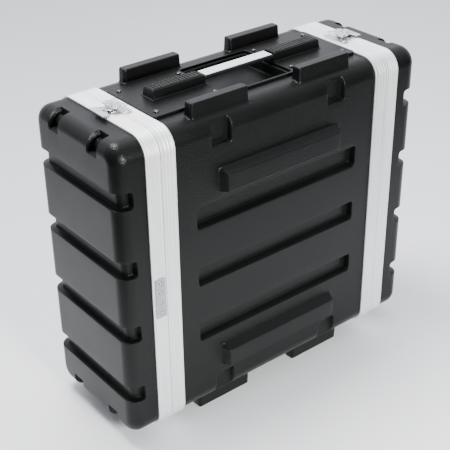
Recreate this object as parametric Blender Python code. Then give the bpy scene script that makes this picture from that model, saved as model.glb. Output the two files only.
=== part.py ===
"""Four-unit rack case for audio gear, standing on its side with the carry handle up.

X runs through the rack bay, from the front lid (-X) to the rear lid (+X).
Y is the case's thickness, and Z is up. The origin is on the floor under the middle.
Lengths are in metres, written as millimetres times MM.
"""
from math import cos, pi, sin

import bmesh
import bpy
from mathutils import Matrix, Vector

MM = 0.001
GAP = 0.3 * MM                   # clearance between neighbouring pieces
ROUND_SIDES = 8                  # round a screw, a rivet or a small hole

# Case outline, seen along X
FOOT_HEIGHT = 20 * MM            # the guard blocks stand this far out past the valances
BAND_HALF_Y = 118 * MM           # outer surface of the aluminium valances
BAND_HALF_Z = 270 * MM
BAND_CORNER = 33 * MM
SHELL_INSET = 3 * MM             # the plastic lies this far inside the valance surface
SHELL_WALL = 3.5 * MM
MID_Z = FOOT_HEIGHT + BAND_HALF_Z
SHELL_HALF_Y = BAND_HALF_Y - SHELL_INSET
SHELL_HALF_Z = BAND_HALF_Z - SHELL_INSET
SHELL_CORNER = BAND_CORNER - SHELL_INSET
CORNER_STEPS = 4

# Along X
SPLIT_X = 237 * MM               # lids part from the body here
BAND_WIDTH = 27 * MM             # each valance half
LID_FACE_X = 315 * MM
LID_EDGE = 22 * MM               # rounding of the lid's face edges
LID_EDGE_STEPS = 3

# Valance channel
BAND_OUTER_LEG = SHELL_INSET - GAP
BAND_WEB = 3.7 * MM
BAND_INNER_LEG = 2.5 * MM
BAND_INNER_REACH = 22 * MM

# Grooves round the lid
LID_GROOVE_PITCH = 119 * MM
LID_GROOVE_HALF = 14.5 * MM
LID_GROOVE_DEPTH = 10 * MM
LID_GROOVE_START_X = 288 * MM
NOTCH_Y = 54 * MM                # finger notches in the lid's top and bottom edges
NOTCH_HALF = 12.5 * MM
NOTCH_DEPTH = 9 * MM
NOTCH_START_X = 290 * MM
NOTCH_LOW = 28 * MM              # below the shell's top
OUTSIDE = 30 * MM                # how far a cutter runs out into the air

# Big faces: three long grooves and two raised bars
GROOVE_HALF_X = 171 * MM
GROOVE_DEPTH = 12 * MM
GROOVES_Z = ((356, 393), (250, 284), (141, 174))     # mm above the valances' lower edge
GROOVE_DRAFT = 4 * MM
BAR_HALF_X = 128 * MM
BAR_HEIGHT = 15.5 * MM
BAR_DRAFT = 8 * MM
BARS_Z = ((406, 449), (68, 112))
DENT_X = (101 * MM, 140 * MM)    # dents in the edge beneath the guard blocks
DENT_DEPTH = 9 * MM
DENT_REACH = 50 * MM

# Guard blocks, which are also the feet
BLOCK_X = (52 * MM, 165 * MM)
BLOCK_Y = (78 * MM, 98 * MM)
BLOCK_DRAFT = 1.5 * MM
BLOCK_TOP = BAND_HALF_Z + FOOT_HEIGHT

# Handle
PLATE_HALF_X = 209.5 * MM
PLATE_HALF_Y = 66 * MM
PLATE_THICK = 4.2 * MM
PLATE_CORNER = 6 * MM
WINDOW_HALF_X = 70 * MM
WINDOW_HALF_Y = 61 * MM
WELL_HALF_X = 66 * MM
WELL_HALF_Y = 57 * MM
WELL_DEPTH = 17 * MM
PAD_X = (70.5 * MM, 177 * MM)
PAD_HALF_Y = 16.5 * MM
PAD_TOP_HALF_Y = 11.5 * MM
PAD_HEIGHT = 16 * MM
PAD_END_DRAFT = 4 * MM
STRAP_HALF_X = 69.5 * MM
STRAP_HALF_Y = 13 * MM
STRAP_LOW = 11 * MM              # above the shell
STRAP_THICK = 6 * MM
INLAY_HALF_X = 65 * MM
INLAY_HALF_Y = 10.5 * MM
INLAY_THICK = 0.8 * MM
SCREW_SPOTS = ((195, 50), (80, 48))                  # mm, in each quarter of the plate
SCREW_HEAD_R = 4.5 * MM
SCREW_HEAD_HEIGHT = 2.4 * MM
SCREW_SHANK_R = 2 * MM
SCREW_LENGTH = 17 * MM
SCREW_HOLE_R = 2.5 * MM

# Rack rails, square-punched to the rack standard
RACK_UNIT = 44.45 * MM
RACK_UNITS = 4
RACK_HOLE_PITCH = 465.1 * MM     # across the bay
RACK_HOLES = (6.35 * MM, 22.225 * MM, 38.1 * MM)     # up each unit
RACK_OPENING = 450 * MM
CAGE_HOLE = 9.5 * MM
RAIL_FACE_X = 202 * MM
RAIL_SHEET = 2 * MM
RAIL_LEG = 30 * MM
RAIL_HALF_Y = 88.5 * MM
RAIL_GAP = 0.8 * MM              # clears the rounded corners of the sleeve

# Latches: u is outward from the split, v along Y, w up from the valance
PIVOT_U = 10 * MM
LATCH_SHEET = 1.5 * MM
RIVET_HEAD_R = 3.4 * MM
RIVET_HEAD_HEIGHT = 1.6 * MM
RIVET_SHANK_R = 1.9 * MM
RIVET_HOLE_R = 2.3 * MM
RIVET_TAIL = 2.4 * MM
BASE_RIVETS = ((-9, -20), (-9, 20))
KEEPER_RIVETS = ((21, -10), (21, 10))
CLAW_LOW = 3.1 * MM
CLAW_LIP_LOW = 2.3 * MM
SPINDLE_R = 4 * MM
SPINDLE_HEAD_R = 10 * MM
SPINDLE_HEAD_LOW = 5 * MM
SPINDLE_HEAD_TOP = 6.3 * MM
SPINDLE_TOP = 11.6 * MM
WING_AXIS_W = 9.8 * MM
WING_SHEET = 2 * MM
WING_BARREL_R = 2.6 * MM
WING_BORE_R = 1.6 * MM
WING_PIN_R = 1.2 * MM

# Splice plate that joins the ends of the bent lid valance
SPLICE_X = (240 * MM, 259 * MM)
SPLICE_Z = (226 * MM, 298 * MM)  # above the valances' lower edge
SPLICE_THICK = 1.1 * MM
SPLICE_PITCH = 18.6 * MM
SPLICE_RIVETS = 4

PLASTIC = ("black_abs", (0.020, 0.021, 0.021), 0.45, 0.0)
ALUMINIUM = ("aluminium", (0.78, 0.78, 0.79), 0.32, 1.0)
ZINC = ("zinc_plate", (0.70, 0.71, 0.72), 0.25, 1.0)
STEEL = ("black_steel", (0.030, 0.030, 0.032), 0.50, 0.6)
RUBBER = ("strap_rubber", (0.015, 0.015, 0.016), 0.60, 0.0)
INLAY = ("white_inlay", (0.75, 0.75, 0.76), 0.35, 0.0)

ENDS = (("front", -1), ("rear", 1))
SIDES = (("top", 1), ("bottom", -1))


# ---------------------------------------------------------------- helpers

def material(finish):
    """A Principled material from a name, a colour, a roughness and a metallic value."""
    name, colour, roughness, metallic = finish
    found = bpy.data.materials.get(name)
    if found:
        return found
    made = bpy.data.materials.new(name)
    made.use_nodes = True
    shader = made.node_tree.nodes["Principled BSDF"]
    shader.inputs["Base Color"].default_value = (*colour, 1.0)
    shader.inputs["Roughness"].default_value = roughness
    shader.inputs["Metallic"].default_value = metallic
    return made


def loft(loops):
    """A closed solid through equal loops of points, capped at both ends."""
    shape = bmesh.new()
    rings = [[shape.verts.new(point) for point in loop] for loop in loops]
    for low, high in zip(rings, rings[1:]):
        for k in range(len(low)):
            after = (k + 1) % len(low)
            shape.faces.new((low[k], low[after], high[after], high[k]))
    shape.faces.new(rings[0][::-1])
    shape.faces.new(rings[-1])
    return outward(shape)


def outward(shape):
    """Turn every face of a closed shape outward."""
    bmesh.ops.recalc_face_normals(shape, faces=shape.faces[:])
    return shape


def solid(name, shape, finish):
    """An object from a finished bmesh."""
    mesh = bpy.data.meshes.new(name)
    shape.to_mesh(mesh)
    shape.free()
    mesh.materials.append(material(finish) if isinstance(finish, tuple) else finish)
    made = bpy.data.objects.new(name, mesh)
    bpy.context.collection.objects.link(made)
    return made


def combine(target, tool, operation="DIFFERENCE"):
    """Cut or join a tool into a target, and drop the tool."""
    step = target.modifiers.new("combine", "BOOLEAN")
    step.operation = operation
    step.solver = "EXACT"
    step.object = tool
    bpy.context.view_layer.update()
    seen = target.evaluated_get(bpy.context.evaluated_depsgraph_get())
    mesh = bpy.data.meshes.new_from_object(seen)
    target.modifiers.clear()
    target.data = mesh
    mesh.name = target.name
    bpy.data.objects.remove(tool)
    return target


def joined(shapes):
    """One bmesh holding several separate solids."""
    whole = bmesh.new()
    for shape in shapes:
        mesh = bpy.data.meshes.new("part")
        shape.to_mesh(mesh)
        shape.free()
        whole.from_mesh(mesh)
        bpy.data.meshes.remove(mesh)
    return whole


def box(low, high):
    """A box between two corners."""
    (x0, y0, z0), (x1, y1, z1) = low, high
    loops = [[(x0, y0, z), (x1, y0, z), (x1, y1, z), (x0, y1, z)] for z in (z0, z1)]
    return loft(loops)


def frustum(low_rect, high_rect, low, high, to_point):
    """A solid between two rectangles at heights low and high; to_point(a, b, h) places it."""
    loops = []
    for (a0, a1, b0, b1), height in ((low_rect, low), (high_rect, high)):
        corners = ((a0, b0), (a1, b0), (a1, b1), (a0, b1))
        loops.append([to_point(a, b, height) for a, b in corners])
    return loft(loops)


def cylinder(centre, axis, radius, low, high, sides=ROUND_SIDES):
    """A round solid along an axis, from low to high along it."""
    turn = Vector((0, 0, 1)).rotation_difference(Vector(axis)).to_matrix()
    loops = []
    for height in (low, high):
        ring = [Vector((radius * cos(2 * pi * (k + 0.5) / sides),
                        radius * sin(2 * pi * (k + 0.5) / sides), height)) for k in range(sides)]
        loops.append([Vector(centre) + turn @ point for point in ring])
    return loft(loops)


def turned(profile, sides=12):
    """A solid turned about Z from (radius, height) pairs."""
    loops = []
    for radius, height in profile:
        loops.append([(radius * cos(2 * pi * k / sides), radius * sin(2 * pi * k / sides), height)
                      for k in range(sides)])
    return loft(loops)


def prism(outline, low, high, to_point):
    """A solid from a flat outline; to_point(a, b, h) places it."""
    return loft([[to_point(a, b, height) for a, b in outline] for height in (low, high)])


def rounded(half_a, half_b, radius, steps=CORNER_STEPS):
    """Points of a rounded rectangle, anticlockwise."""
    points = []
    for k, (side_a, side_b) in enumerate(((1, 1), (-1, 1), (-1, -1), (1, -1))):
        for step in range(steps + 1):
            angle = (k + step / steps) * pi / 2
            points.append((side_a * (half_a - radius) + radius * cos(angle),
                           side_b * (half_b - radius) + radius * sin(angle)))
    return points


def arc(centre_a, centre_b, radius, start, end, steps=LID_EDGE_STEPS):
    """Points of an arc, angles in degrees."""
    points = []
    for step in range(steps + 1):
        angle = (start + (end - start) * step / steps) * pi / 180
        points.append((centre_a + radius * cos(angle), centre_b + radius * sin(angle)))
    return points


def case_loop(x, inset):
    """The case outline at x, drawn in by inset from the valance surface."""
    outline = rounded(BAND_HALF_Y - inset, BAND_HALF_Z - inset, BAND_CORNER - inset)
    return [(x, y, MID_Z + z) for y, z in outline]


def above_floor(height):
    """Z of a height given in mm above the valances' lower edge."""
    return FOOT_HEIGHT + height * MM


# ---------------------------------------------------------------- body shell

def face_point(side):
    """Places a, b on a big face, h outward from its flat."""
    return lambda a, b, h: (a, side * (SHELL_HALF_Y + h), b)


def groove_tools(margin):
    """The long grooves of both big faces, grown by margin on every side but the outer."""
    tools = []
    for side in (-1, 1):
        for low, high in GROOVES_Z:
            x = GROOVE_HALF_X + margin
            z0 = above_floor(low) - margin
            z1 = above_floor(high) + margin
            bottom = (-x + GROOVE_DRAFT, x - GROOVE_DRAFT, z0 + GROOVE_DRAFT, z1 - GROOVE_DRAFT)
            tools.append(frustum(bottom, (-x, x, z0, z1), -GROOVE_DEPTH - margin, OUTSIDE,
                                 face_point(side)))
    return tools


def bar_tools(margin, low=-1 * MM):
    """The raised bars of both big faces, drawn in by margin."""
    tools = []
    for side in (-1, 1):
        for z_low, z_high in BARS_Z:
            x = BAR_HALF_X - margin
            z0 = above_floor(z_low) + margin
            z1 = above_floor(z_high) - margin
            top = (-x + BAR_DRAFT, x - BAR_DRAFT, z0 + BAR_DRAFT, z1 - BAR_DRAFT)
            tools.append(frustum((-x, x, z0, z1), top, low, BAR_HEIGHT - margin,
                                 face_point(side)))
    return tools


def dent_tools(margin):
    """Dents in the case's long edges beneath the guard blocks."""
    tools = []
    x0, x1 = DENT_X
    for side_x in (-1, 1):
        for side_y in (-1, 1):
            for side_z in (-1, 1):
                xs = sorted((side_x * (x0 - margin), side_x * (x1 + margin)))
                ys = sorted((side_y * (SHELL_HALF_Y - DENT_DEPTH - margin),
                             side_y * (SHELL_HALF_Y + OUTSIDE)))
                zs = sorted((MID_Z + side_z * (SHELL_HALF_Z - DENT_REACH - margin),
                             MID_Z + side_z * (SHELL_HALF_Z + OUTSIDE)))
                tools.append(box((xs[0], ys[0], zs[0]), (xs[1], ys[1], zs[1])))
    return tools


def block_tools(margin, low):
    """The guard blocks on top and bottom, drawn in by margin."""
    tools = []
    for side_x in (-1, 1):
        for side_y in (-1, 1):
            for side_z in (-1, 1):
                xs = sorted(side_x * x for x in (BLOCK_X[0] + margin, BLOCK_X[1] - margin))
                ys = sorted(side_y * y for y in (BLOCK_Y[0] + margin, BLOCK_Y[1] - margin))
                top = (xs[0] + BLOCK_DRAFT, xs[1] - BLOCK_DRAFT,
                       ys[0] + BLOCK_DRAFT, ys[1] - BLOCK_DRAFT)
                tools.append(frustum((*xs, *ys), top, low, BLOCK_TOP - margin,
                                     lambda a, b, h, s=side_z: (a, b, MID_Z + s * h)))
    return tools


def well_tools(margin):
    """The hand wells under the straps."""
    tools = []
    x = WELL_HALF_X + margin
    y = WELL_HALF_Y + margin
    for side in (-1, 1):
        zs = sorted((MID_Z + side * (SHELL_HALF_Z - WELL_DEPTH - margin),
                     MID_Z + side * (SHELL_HALF_Z + OUTSIDE)))
        tools.append(box((-x, -y, zs[0]), (x, y, zs[1])))
    return tools


def screw_places():
    """Centres of the handle plates' screws."""
    return [(side_x * x * MM, side_y * y * MM)
            for x, y in SCREW_SPOTS for side_x in (-1, 1) for side_y in (-1, 1)]


def screw_hole_tools():
    """Clearance holes for the plate screws, right through plate, shell and rail."""
    tools = []
    for x, y in screw_places():
        for side in (-1, 1):
            lows = sorted((side * (SHELL_HALF_Z - 20 * MM), side * (SHELL_HALF_Z + 12 * MM)))
            tools.append(cylinder((x, y, MID_Z), (0, 0, 1), SCREW_HOLE_R, *lows))
    return tools


def body_shell():
    """The moulded sleeve: an outline tube with bars, blocks, grooves, dents and wells."""
    end = SPLIT_X - GAP - BAND_WEB - GAP
    shell = solid("body_shell", loft([case_loop(x, SHELL_INSET) for x in (-end, end)]), PLASTIC)
    raised = bar_tools(0) + block_tools(0, SHELL_HALF_Z - 12 * MM)
    combine(shell, solid("raised", joined(raised), PLASTIC), "UNION")

    inner_inset = SHELL_INSET + SHELL_WALL
    past = end + OUTSIDE
    bay = solid("bay", loft([case_loop(x, inner_inset) for x in (-past, past)]), PLASTIC)
    hollows = bar_tools(SHELL_WALL, -SHELL_WALL - 1 * MM)
    hollows += block_tools(SHELL_WALL, SHELL_HALF_Z - SHELL_WALL - 3 * MM)
    combine(bay, solid("hollows", joined(hollows), PLASTIC), "UNION")
    ribs = groove_tools(SHELL_WALL) + well_tools(SHELL_WALL)
    combine(bay, solid("ribs", joined(ribs), PLASTIC))
    combine(bay, solid("ribs", joined(dent_tools(SHELL_WALL)), PLASTIC))
    combine(shell, bay)

    combine(shell, solid("grooves", joined(groove_tools(0) + dent_tools(0)), PLASTIC))
    combine(shell, solid("wells", joined(well_tools(0)), PLASTIC))
    combine(shell, solid("holes", joined(screw_hole_tools()), PLASTIC))
    return shell


# ---------------------------------------------------------------- valances

def band(name, side, outer_x, inner_x, web_x):
    """A channel ring: outer leg, web against the split, inner leg behind the shell's edge."""
    back = SHELL_INSET + SHELL_WALL + GAP
    reach = web_x + (1 if outer_x > web_x else -1) * BAND_INNER_REACH
    profile = ((outer_x, 0), (web_x, 0), (web_x, back + BAND_INNER_LEG),
               (reach, back + BAND_INNER_LEG), (reach, back), (inner_x, back),
               (inner_x, BAND_OUTER_LEG), (outer_x, BAND_OUTER_LEG))
    shape = bmesh.new()
    rings = [[shape.verts.new(point) for point in case_loop(side * x, inset)]
             for x, inset in profile]
    for k, low in enumerate(rings):
        high = rings[(k + 1) % len(rings)]
        for j in range(len(low)):
            after = (j + 1) % len(low)
            shape.faces.new((low[j], low[after], high[after], high[j]))
    return solid(name, outward(shape), ALUMINIUM)


def latch_frame(side_x, side_z):
    """Turns a latch's own u, v, w into the case: u outward, w away from the valance."""
    turn = Matrix(((side_x, 0, 0), (0, side_x * side_z, 0), (0, 0, side_z))).to_4x4()
    place = Matrix.Translation((side_x * SPLIT_X, 0, MID_Z + side_z * BAND_HALF_Z))
    return place @ turn


def rivet_holes(spots, side_x):
    """Holes through a valance for the rivets of both its latches."""
    tools = []
    for side_z in (-1, 1):
        frame = latch_frame(side_x, side_z)
        for u, v in spots:
            centre = frame @ Vector((u * MM, v * MM, 0))
            tools.append(cylinder(centre, (0, 0, 1), RIVET_HOLE_R, -6 * MM, 6 * MM))
    return tools


def splice_spots(side_x):
    """Rivet centres on the splice plate of a lid valance."""
    x = side_x * sum(SPLICE_X) / 2
    middle = FOOT_HEIGHT + sum(SPLICE_Z) / 2
    first = middle - SPLICE_PITCH * (SPLICE_RIVETS - 1) / 2
    return [(x, side_x * BAND_HALF_Y, first + k * SPLICE_PITCH) for k in range(SPLICE_RIVETS)]


def valances():
    """Two valances on the body and one on each lid, with their rivet holes."""
    for end, side in ENDS:
        web = SPLIT_X - GAP
        body = band("body_valance_" + end, side, SPLIT_X - BAND_WIDTH, web - BAND_WEB, web)
        combine(body, solid("holes", joined(rivet_holes(BASE_RIVETS, side)), ALUMINIUM))
        web = SPLIT_X + GAP
        lid = band("lid_valance_" + end, side, SPLIT_X + BAND_WIDTH, web + BAND_WEB, web)
        holes = rivet_holes(KEEPER_RIVETS, side)
        holes += [cylinder(spot, (0, 1, 0), RIVET_HOLE_R, -6 * MM, 6 * MM)
                  for spot in splice_spots(side)]
        combine(lid, solid("holes", joined(holes), ALUMINIUM))


def splice_plates():
    """The riveted plate over the joint of each lid valance."""
    for end, side in ENDS:
        xs = sorted(side * x for x in SPLICE_X)
        ys = sorted(side * (BAND_HALF_Y + t) for t in (GAP, GAP + SPLICE_THICK))
        zs = [FOOT_HEIGHT + z for z in SPLICE_Z]
        plate = solid("splice_plate_" + end, box((xs[0], ys[0], zs[0]), (xs[1], ys[1], zs[1])),
                      ALUMINIUM)
        turn = Matrix.Rotation(-side * pi / 2, 4, "X")
        add_rivets(plate, [Matrix.Translation(spot) @ turn for spot in splice_spots(side)],
                   GAP + SPLICE_THICK)


def rivet(head_low):
    """A domed rivet on Z, its head's underside at head_low."""
    return turned(((RIVET_SHANK_R, -RIVET_TAIL), (RIVET_SHANK_R, head_low),
                   (RIVET_HEAD_R, head_low),
                   (RIVET_HEAD_R * 0.5, head_low + RIVET_HEAD_HEIGHT)), ROUND_SIDES)


def add_rivets(plate, places, head_low):
    """Set rivets into a plate, their heads standing on its outer face."""
    rivets = [moved(rivet(head_low), place) for place in places]
    return combine(plate, solid("rivets", joined(rivets), plate.data.materials[0]), "UNION")


def moved(shape, matrix):
    """The same shape at another place."""
    bmesh.ops.transform(shape, matrix=matrix, verts=shape.verts[:])
    return shape


# ---------------------------------------------------------------- lids

def lid_skin(inset, start_x):
    """A lid's outer or inner form, closed at the split end, inset from the outer skin."""
    edge = LID_EDGE - inset
    flat_x = LID_FACE_X - LID_EDGE
    loops = [(start_x, inset)]
    for step in range(LID_EDGE_STEPS + 1):
        angle = step / LID_EDGE_STEPS * pi / 2
        loops.append((flat_x + edge * sin(angle), inset + edge * (1 - cos(angle))))
    return [(x, SHELL_INSET + drawn) for x, drawn in loops]


def wrap_outline(half, start_x, depth):
    """What a groove of this depth cuts away round both side edges of a lid."""
    flat_x = LID_FACE_X - LID_EDGE
    floor = half - depth
    radius = LID_EDGE - depth
    far = LID_FACE_X + OUTSIDE
    wide = half + OUTSIDE
    centre = half - LID_EDGE
    return ([(start_x, -wide), (far, -wide), (far, wide), (start_x, wide), (start_x, floor)]
            + arc(flat_x, centre, radius, 90, 0) + arc(flat_x, -centre, radius, 0, -90)
            + [(start_x, -floor)])


def corner_outline(half, start_x, low, depth):
    """What a notch of this depth cuts away over one edge of a lid."""
    flat_x = LID_FACE_X - LID_EDGE
    far = LID_FACE_X + OUTSIDE
    return ([(start_x, half + OUTSIDE), (far, half + OUTSIDE), (far, low),
             (LID_FACE_X - depth, low)]
            + arc(flat_x, half - LID_EDGE, LID_EDGE - depth, 0, 90)
            + [(start_x, half - depth)])


def lid_groove_tools(side, margin):
    """The four grooves round a lid."""
    outline = wrap_outline(SHELL_HALF_Y, LID_GROOVE_START_X - margin, LID_GROOVE_DEPTH + margin)
    tools = []
    for k in (-1.5, -0.5, 0.5, 1.5):
        middle = MID_Z + k * LID_GROOVE_PITCH
        half = LID_GROOVE_HALF + margin
        tools.append(prism(outline, middle - half, middle + half,
                           lambda a, b, h: (side * a, b, h)))
    return tools


def notch_tools(side, margin):
    """The notches over a lid's top and bottom edges."""
    low = SHELL_HALF_Z - NOTCH_LOW - margin
    outline = corner_outline(SHELL_HALF_Z, NOTCH_START_X - margin, low, NOTCH_DEPTH + margin)
    tools = []
    for middle in (-NOTCH_Y, NOTCH_Y):
        for side_z in (-1, 1):
            half = NOTCH_HALF + margin
            tools.append(prism(outline, middle - half, middle + half,
                               lambda a, b, h, s=side_z: (side * a, h, MID_Z + s * b)))
    return tools


def lid_shells():
    """The two lids: a deep cover with an even wall behind its grooves and notches."""
    start = SPLIT_X + GAP + BAND_WEB + GAP
    for end, side in ENDS:
        outer = [case_loop(side * x, inset) for x, inset in lid_skin(0, start)]
        lid = solid("lid_shell_" + end, loft(outer), PLASTIC)
        inner = [case_loop(side * x, inset) for x, inset in lid_skin(SHELL_WALL, start - OUTSIDE)]
        cavity = solid("cavity", loft(inner), PLASTIC)
        combine(cavity, solid("ribs", joined(lid_groove_tools(side, SHELL_WALL)), PLASTIC))
        combine(cavity, solid("ribs", joined(notch_tools(side, SHELL_WALL)), PLASTIC))
        combine(lid, cavity)
        combine(lid, solid("grooves", joined(lid_groove_tools(side, 0)), PLASTIC))
        combine(lid, solid("notches", joined(notch_tools(side, 0)), PLASTIC))


# ---------------------------------------------------------------- handles

def handle_point(side):
    """Places a, b in plan and h above the shell's top or bottom."""
    return lambda a, b, h: (a, b, MID_Z + side * (SHELL_HALF_Z + h))


def handles():
    """On top and bottom: a plate with a window, end pads, a strap with its inlay, screws."""
    for name, side in SIDES:
        place = handle_point(side)
        low = GAP
        high = GAP + PLATE_THICK
        outline = rounded(PLATE_HALF_X, PLATE_HALF_Y, PLATE_CORNER, 3)
        plate = solid("handle_plate_" + name, prism(outline, low, high, place), PLASTIC)
        window = rounded(WINDOW_HALF_X, WINDOW_HALF_Y, PLATE_CORNER, 3)
        combine(plate, solid("window", prism(window, -OUTSIDE, OUTSIDE, place), PLASTIC))
        combine(plate, solid("holes", joined(screw_hole_tools()), PLASTIC))

        seat = high + GAP
        for end, side_x in ENDS:
            foot = sorted(side_x * x for x in PAD_X)
            top = (foot[0] + PAD_END_DRAFT, foot[1] - PAD_END_DRAFT, -PAD_TOP_HALF_Y, PAD_TOP_HALF_Y)
            pad = frustum((*foot, -PAD_HALF_Y, PAD_HALF_Y), top, seat, seat + PAD_HEIGHT, place)
            solid("handle_pad_%s_%s" % (name, end), pad, PLASTIC)

        strap = rounded(STRAP_HALF_X, STRAP_HALF_Y, 3 * MM, 2)
        strap_top = STRAP_LOW + STRAP_THICK
        solid("handle_strap_" + name, prism(strap, STRAP_LOW, strap_top, place), RUBBER)
        inlay = rounded(INLAY_HALF_X, INLAY_HALF_Y, 2 * MM, 2)
        solid("handle_inlay_" + name,
              prism(inlay, strap_top + GAP, strap_top + GAP + INLAY_THICK, place), INLAY)

        turn = Matrix.Rotation(0 if side > 0 else pi, 4, "X")
        for number, (x, y) in enumerate(screw_places(), 1):
            shape = moved(screw(), Matrix.Translation(place(x, y, seat)) @ turn)
            solid("plate_screw_%s_%d" % (name, number), shape, ZINC)


def screw():
    """A pan-head screw on Z, its head's underside at zero."""
    return turned(((SCREW_SHANK_R, -SCREW_LENGTH), (SCREW_SHANK_R, 0), (SCREW_HEAD_R, 0),
                   (SCREW_HEAD_R * 0.6, SCREW_HEAD_HEIGHT)), ROUND_SIDES)


# ---------------------------------------------------------------- rack rails

def rack_rails():
    """Angle rails across the bay, square-punched along their faces."""
    leg_high = SHELL_HALF_Z - SHELL_WALL - RAIL_GAP
    leg_low = leg_high - RAIL_SHEET
    face_low = RACK_OPENING / 2
    outline = ((RAIL_FACE_X, face_low), (RAIL_FACE_X, leg_high), (RAIL_FACE_X - RAIL_LEG, leg_high),
               (RAIL_FACE_X - RAIL_LEG, leg_low), (RAIL_FACE_X - RAIL_SHEET, leg_low),
               (RAIL_FACE_X - RAIL_SHEET, face_low))
    lowest = -RACK_UNIT * RACK_UNITS / 2
    rows = [lowest + unit * RACK_UNIT + hole for unit in range(RACK_UNITS) for hole in RACK_HOLES]
    half = CAGE_HOLE / 2
    for end, side_x in ENDS:
        for name, side_z in SIDES:
            rail = solid("rack_rail_%s_%s" % (end, name),
                         prism(outline, -RAIL_HALF_Y, RAIL_HALF_Y,
                               lambda a, b, h: (side_x * a, h, MID_Z + side_z * b)), STEEL)
            centre = MID_Z + side_z * RACK_HOLE_PITCH / 2
            xs = sorted(side_x * x for x in (RAIL_FACE_X - 9 * MM, RAIL_FACE_X + 9 * MM))
            punches = [box((xs[0], row - half, centre - half), (xs[1], row + half, centre + half))
                       for row in rows]
            combine(rail, solid("punches", joined(punches), STEEL))
            combine(rail, solid("holes", joined(screw_hole_tools()), STEEL))


# ---------------------------------------------------------------- latches

def latch_point(u, v, w):
    """A latch's own axes are the mesh's own axes."""
    return (u, v, w)


def in_mm(points):
    """Points written in millimetres."""
    return [(a * MM, b * MM) for a, b in points]


def mirrored(half_outline):
    """A closed outline from its half at v >= 0, listed from one end of the axis to the other."""
    return in_mm(half_outline + [(u, -v) for u, v in reversed(half_outline)])


def latch_base():
    """A plate on the body valance with a tongue that carries the spindle over the split."""
    outline = mirrored([(-18, 18), (-16, 26), (-3, 27), (3, 12), (12, 9), (15, 5)])
    base = solid("base", prism(outline, GAP, GAP + LATCH_SHEET, latch_point), ZINC)
    return add_rivets(base, latch_rivet_places(BASE_RIVETS), GAP + LATCH_SHEET)


def latch_claw():
    """The hooked plate: a neck with a slot round the spindle, and a wide end with a lip."""
    outline = mirrored([(-4, 8), (17, 8), (22, 20), (33, 20)])
    claw = solid("claw", prism(outline, CLAW_LOW, CLAW_LOW + LATCH_SHEET, latch_point), ZINC)
    lip = box((31.5 * MM, -20 * MM, CLAW_LIP_LOW), (33 * MM, 20 * MM, CLAW_LOW + 0.5 * MM))
    combine(claw, solid("lip", lip, ZINC), "UNION")
    slot = mirrored([(0, 2), (2, 4.5), (13, 4.5), (15, 2)])
    return combine(claw, solid("slot", prism(slot, 0, 9 * MM, latch_point), ZINC))


def latch_keeper():
    """The strike plate on the lid valance beneath the claw, set on two studs."""
    outline = mirrored([(16, 13), (18, 16), (24, 16), (26, 13)])
    keeper = solid("keeper", prism(outline, GAP, GAP + LATCH_SHEET, latch_point), ZINC)
    studs = [cylinder((u * MM, v * MM, 0), (0, 0, 1), RIVET_SHANK_R, -RIVET_TAIL, LATCH_SHEET)
             for u, v in KEEPER_RIVETS]
    return combine(keeper, solid("studs", joined(studs), ZINC), "UNION")


def latch_spindle():
    """A turned post with a head, a block for the wing, and the wing's two hinge pins."""
    low = GAP + LATCH_SHEET + GAP
    post = turned(((SPINDLE_R, low), (SPINDLE_R, SPINDLE_HEAD_LOW),
                   (SPINDLE_HEAD_R, SPINDLE_HEAD_LOW), (SPINDLE_HEAD_R, SPINDLE_HEAD_TOP)))
    spindle = solid("spindle", post, ZINC)
    block = box((-4 * MM, -4 * MM, SPINDLE_HEAD_TOP - 1 * MM), (4 * MM, 4 * MM, SPINDLE_TOP))
    combine(spindle, solid("block", block, ZINC), "UNION")
    pin = cylinder((0, 0, WING_AXIS_W), (0, 1, 0), WING_PIN_R, -9 * MM, 9 * MM)
    return combine(spindle, solid("pin", pin, ZINC), "UNION")


def latch_wing():
    """The butterfly: a plate with hollowed edges, hinged on the spindle's pins."""
    outline = mirrored([(5.4, 4.6), (-3, 4.6), (-3, 13), (0, 17), (5, 17.5), (11, 15), (17, 16),
                        (20, 19), (23, 18), (23, 14), (20.5, 8), (20, 3)])
    low = WING_AXIS_W - WING_SHEET / 2
    wing = solid("wing", prism(outline, low, low + WING_SHEET, wing_point), ZINC)
    for side in (-1, 1):
        ends = sorted((side * 4.6 * MM, side * 9.5 * MM))
        barrel = cylinder((0, 0, WING_AXIS_W), (0, 1, 0), WING_BARREL_R, *ends)
        combine(wing, solid("barrel", barrel, ZINC), "UNION")
    hole = cylinder((0, 0, WING_AXIS_W), (0, 1, 0), WING_BORE_R, -20 * MM, 20 * MM)
    return combine(wing, solid("hole", hole, ZINC))


def wing_point(u, v, w):
    """The folded wing lies over the body side."""
    return (-u, v, w)


def latch_rivet_places(spots):
    """Where a latch plate's rivets stand."""
    return [Matrix.Translation((u * MM, v * MM, 0)) for u, v in spots]


def latches():
    """Four latches: one on each valance pair, on top and below."""
    makers = {
        "latch_base": (latch_base(), 0),
        "latch_claw": (latch_claw(), 0),
        "latch_keeper": (latch_keeper(), 0),
        "latch_spindle": (latch_spindle(), PIVOT_U),
        "latch_wing": (latch_wing(), PIVOT_U),
    }
    for end, side_x in ENDS:
        for name, side_z in SIDES:
            frame = latch_frame(side_x, side_z)
            for kind, (pattern, shift) in makers.items():
                made = bpy.data.objects.new("%s_%s_%s" % (kind, end, name), pattern.data)
                made.matrix_world = frame @ Matrix.Translation((shift, 0, 0))
                bpy.context.collection.objects.link(made)
    for pattern, shift in makers.values():
        bpy.data.objects.remove(pattern)


# ---------------------------------------------------------------- the case

def shade():
    """Smooth shading that keeps real edges sharp."""
    for made in bpy.data.objects:
        if made.type == "MESH":
            made.data.shade_smooth()
            made.data.set_sharp_from_angle(angle=35 * pi / 180)


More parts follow.
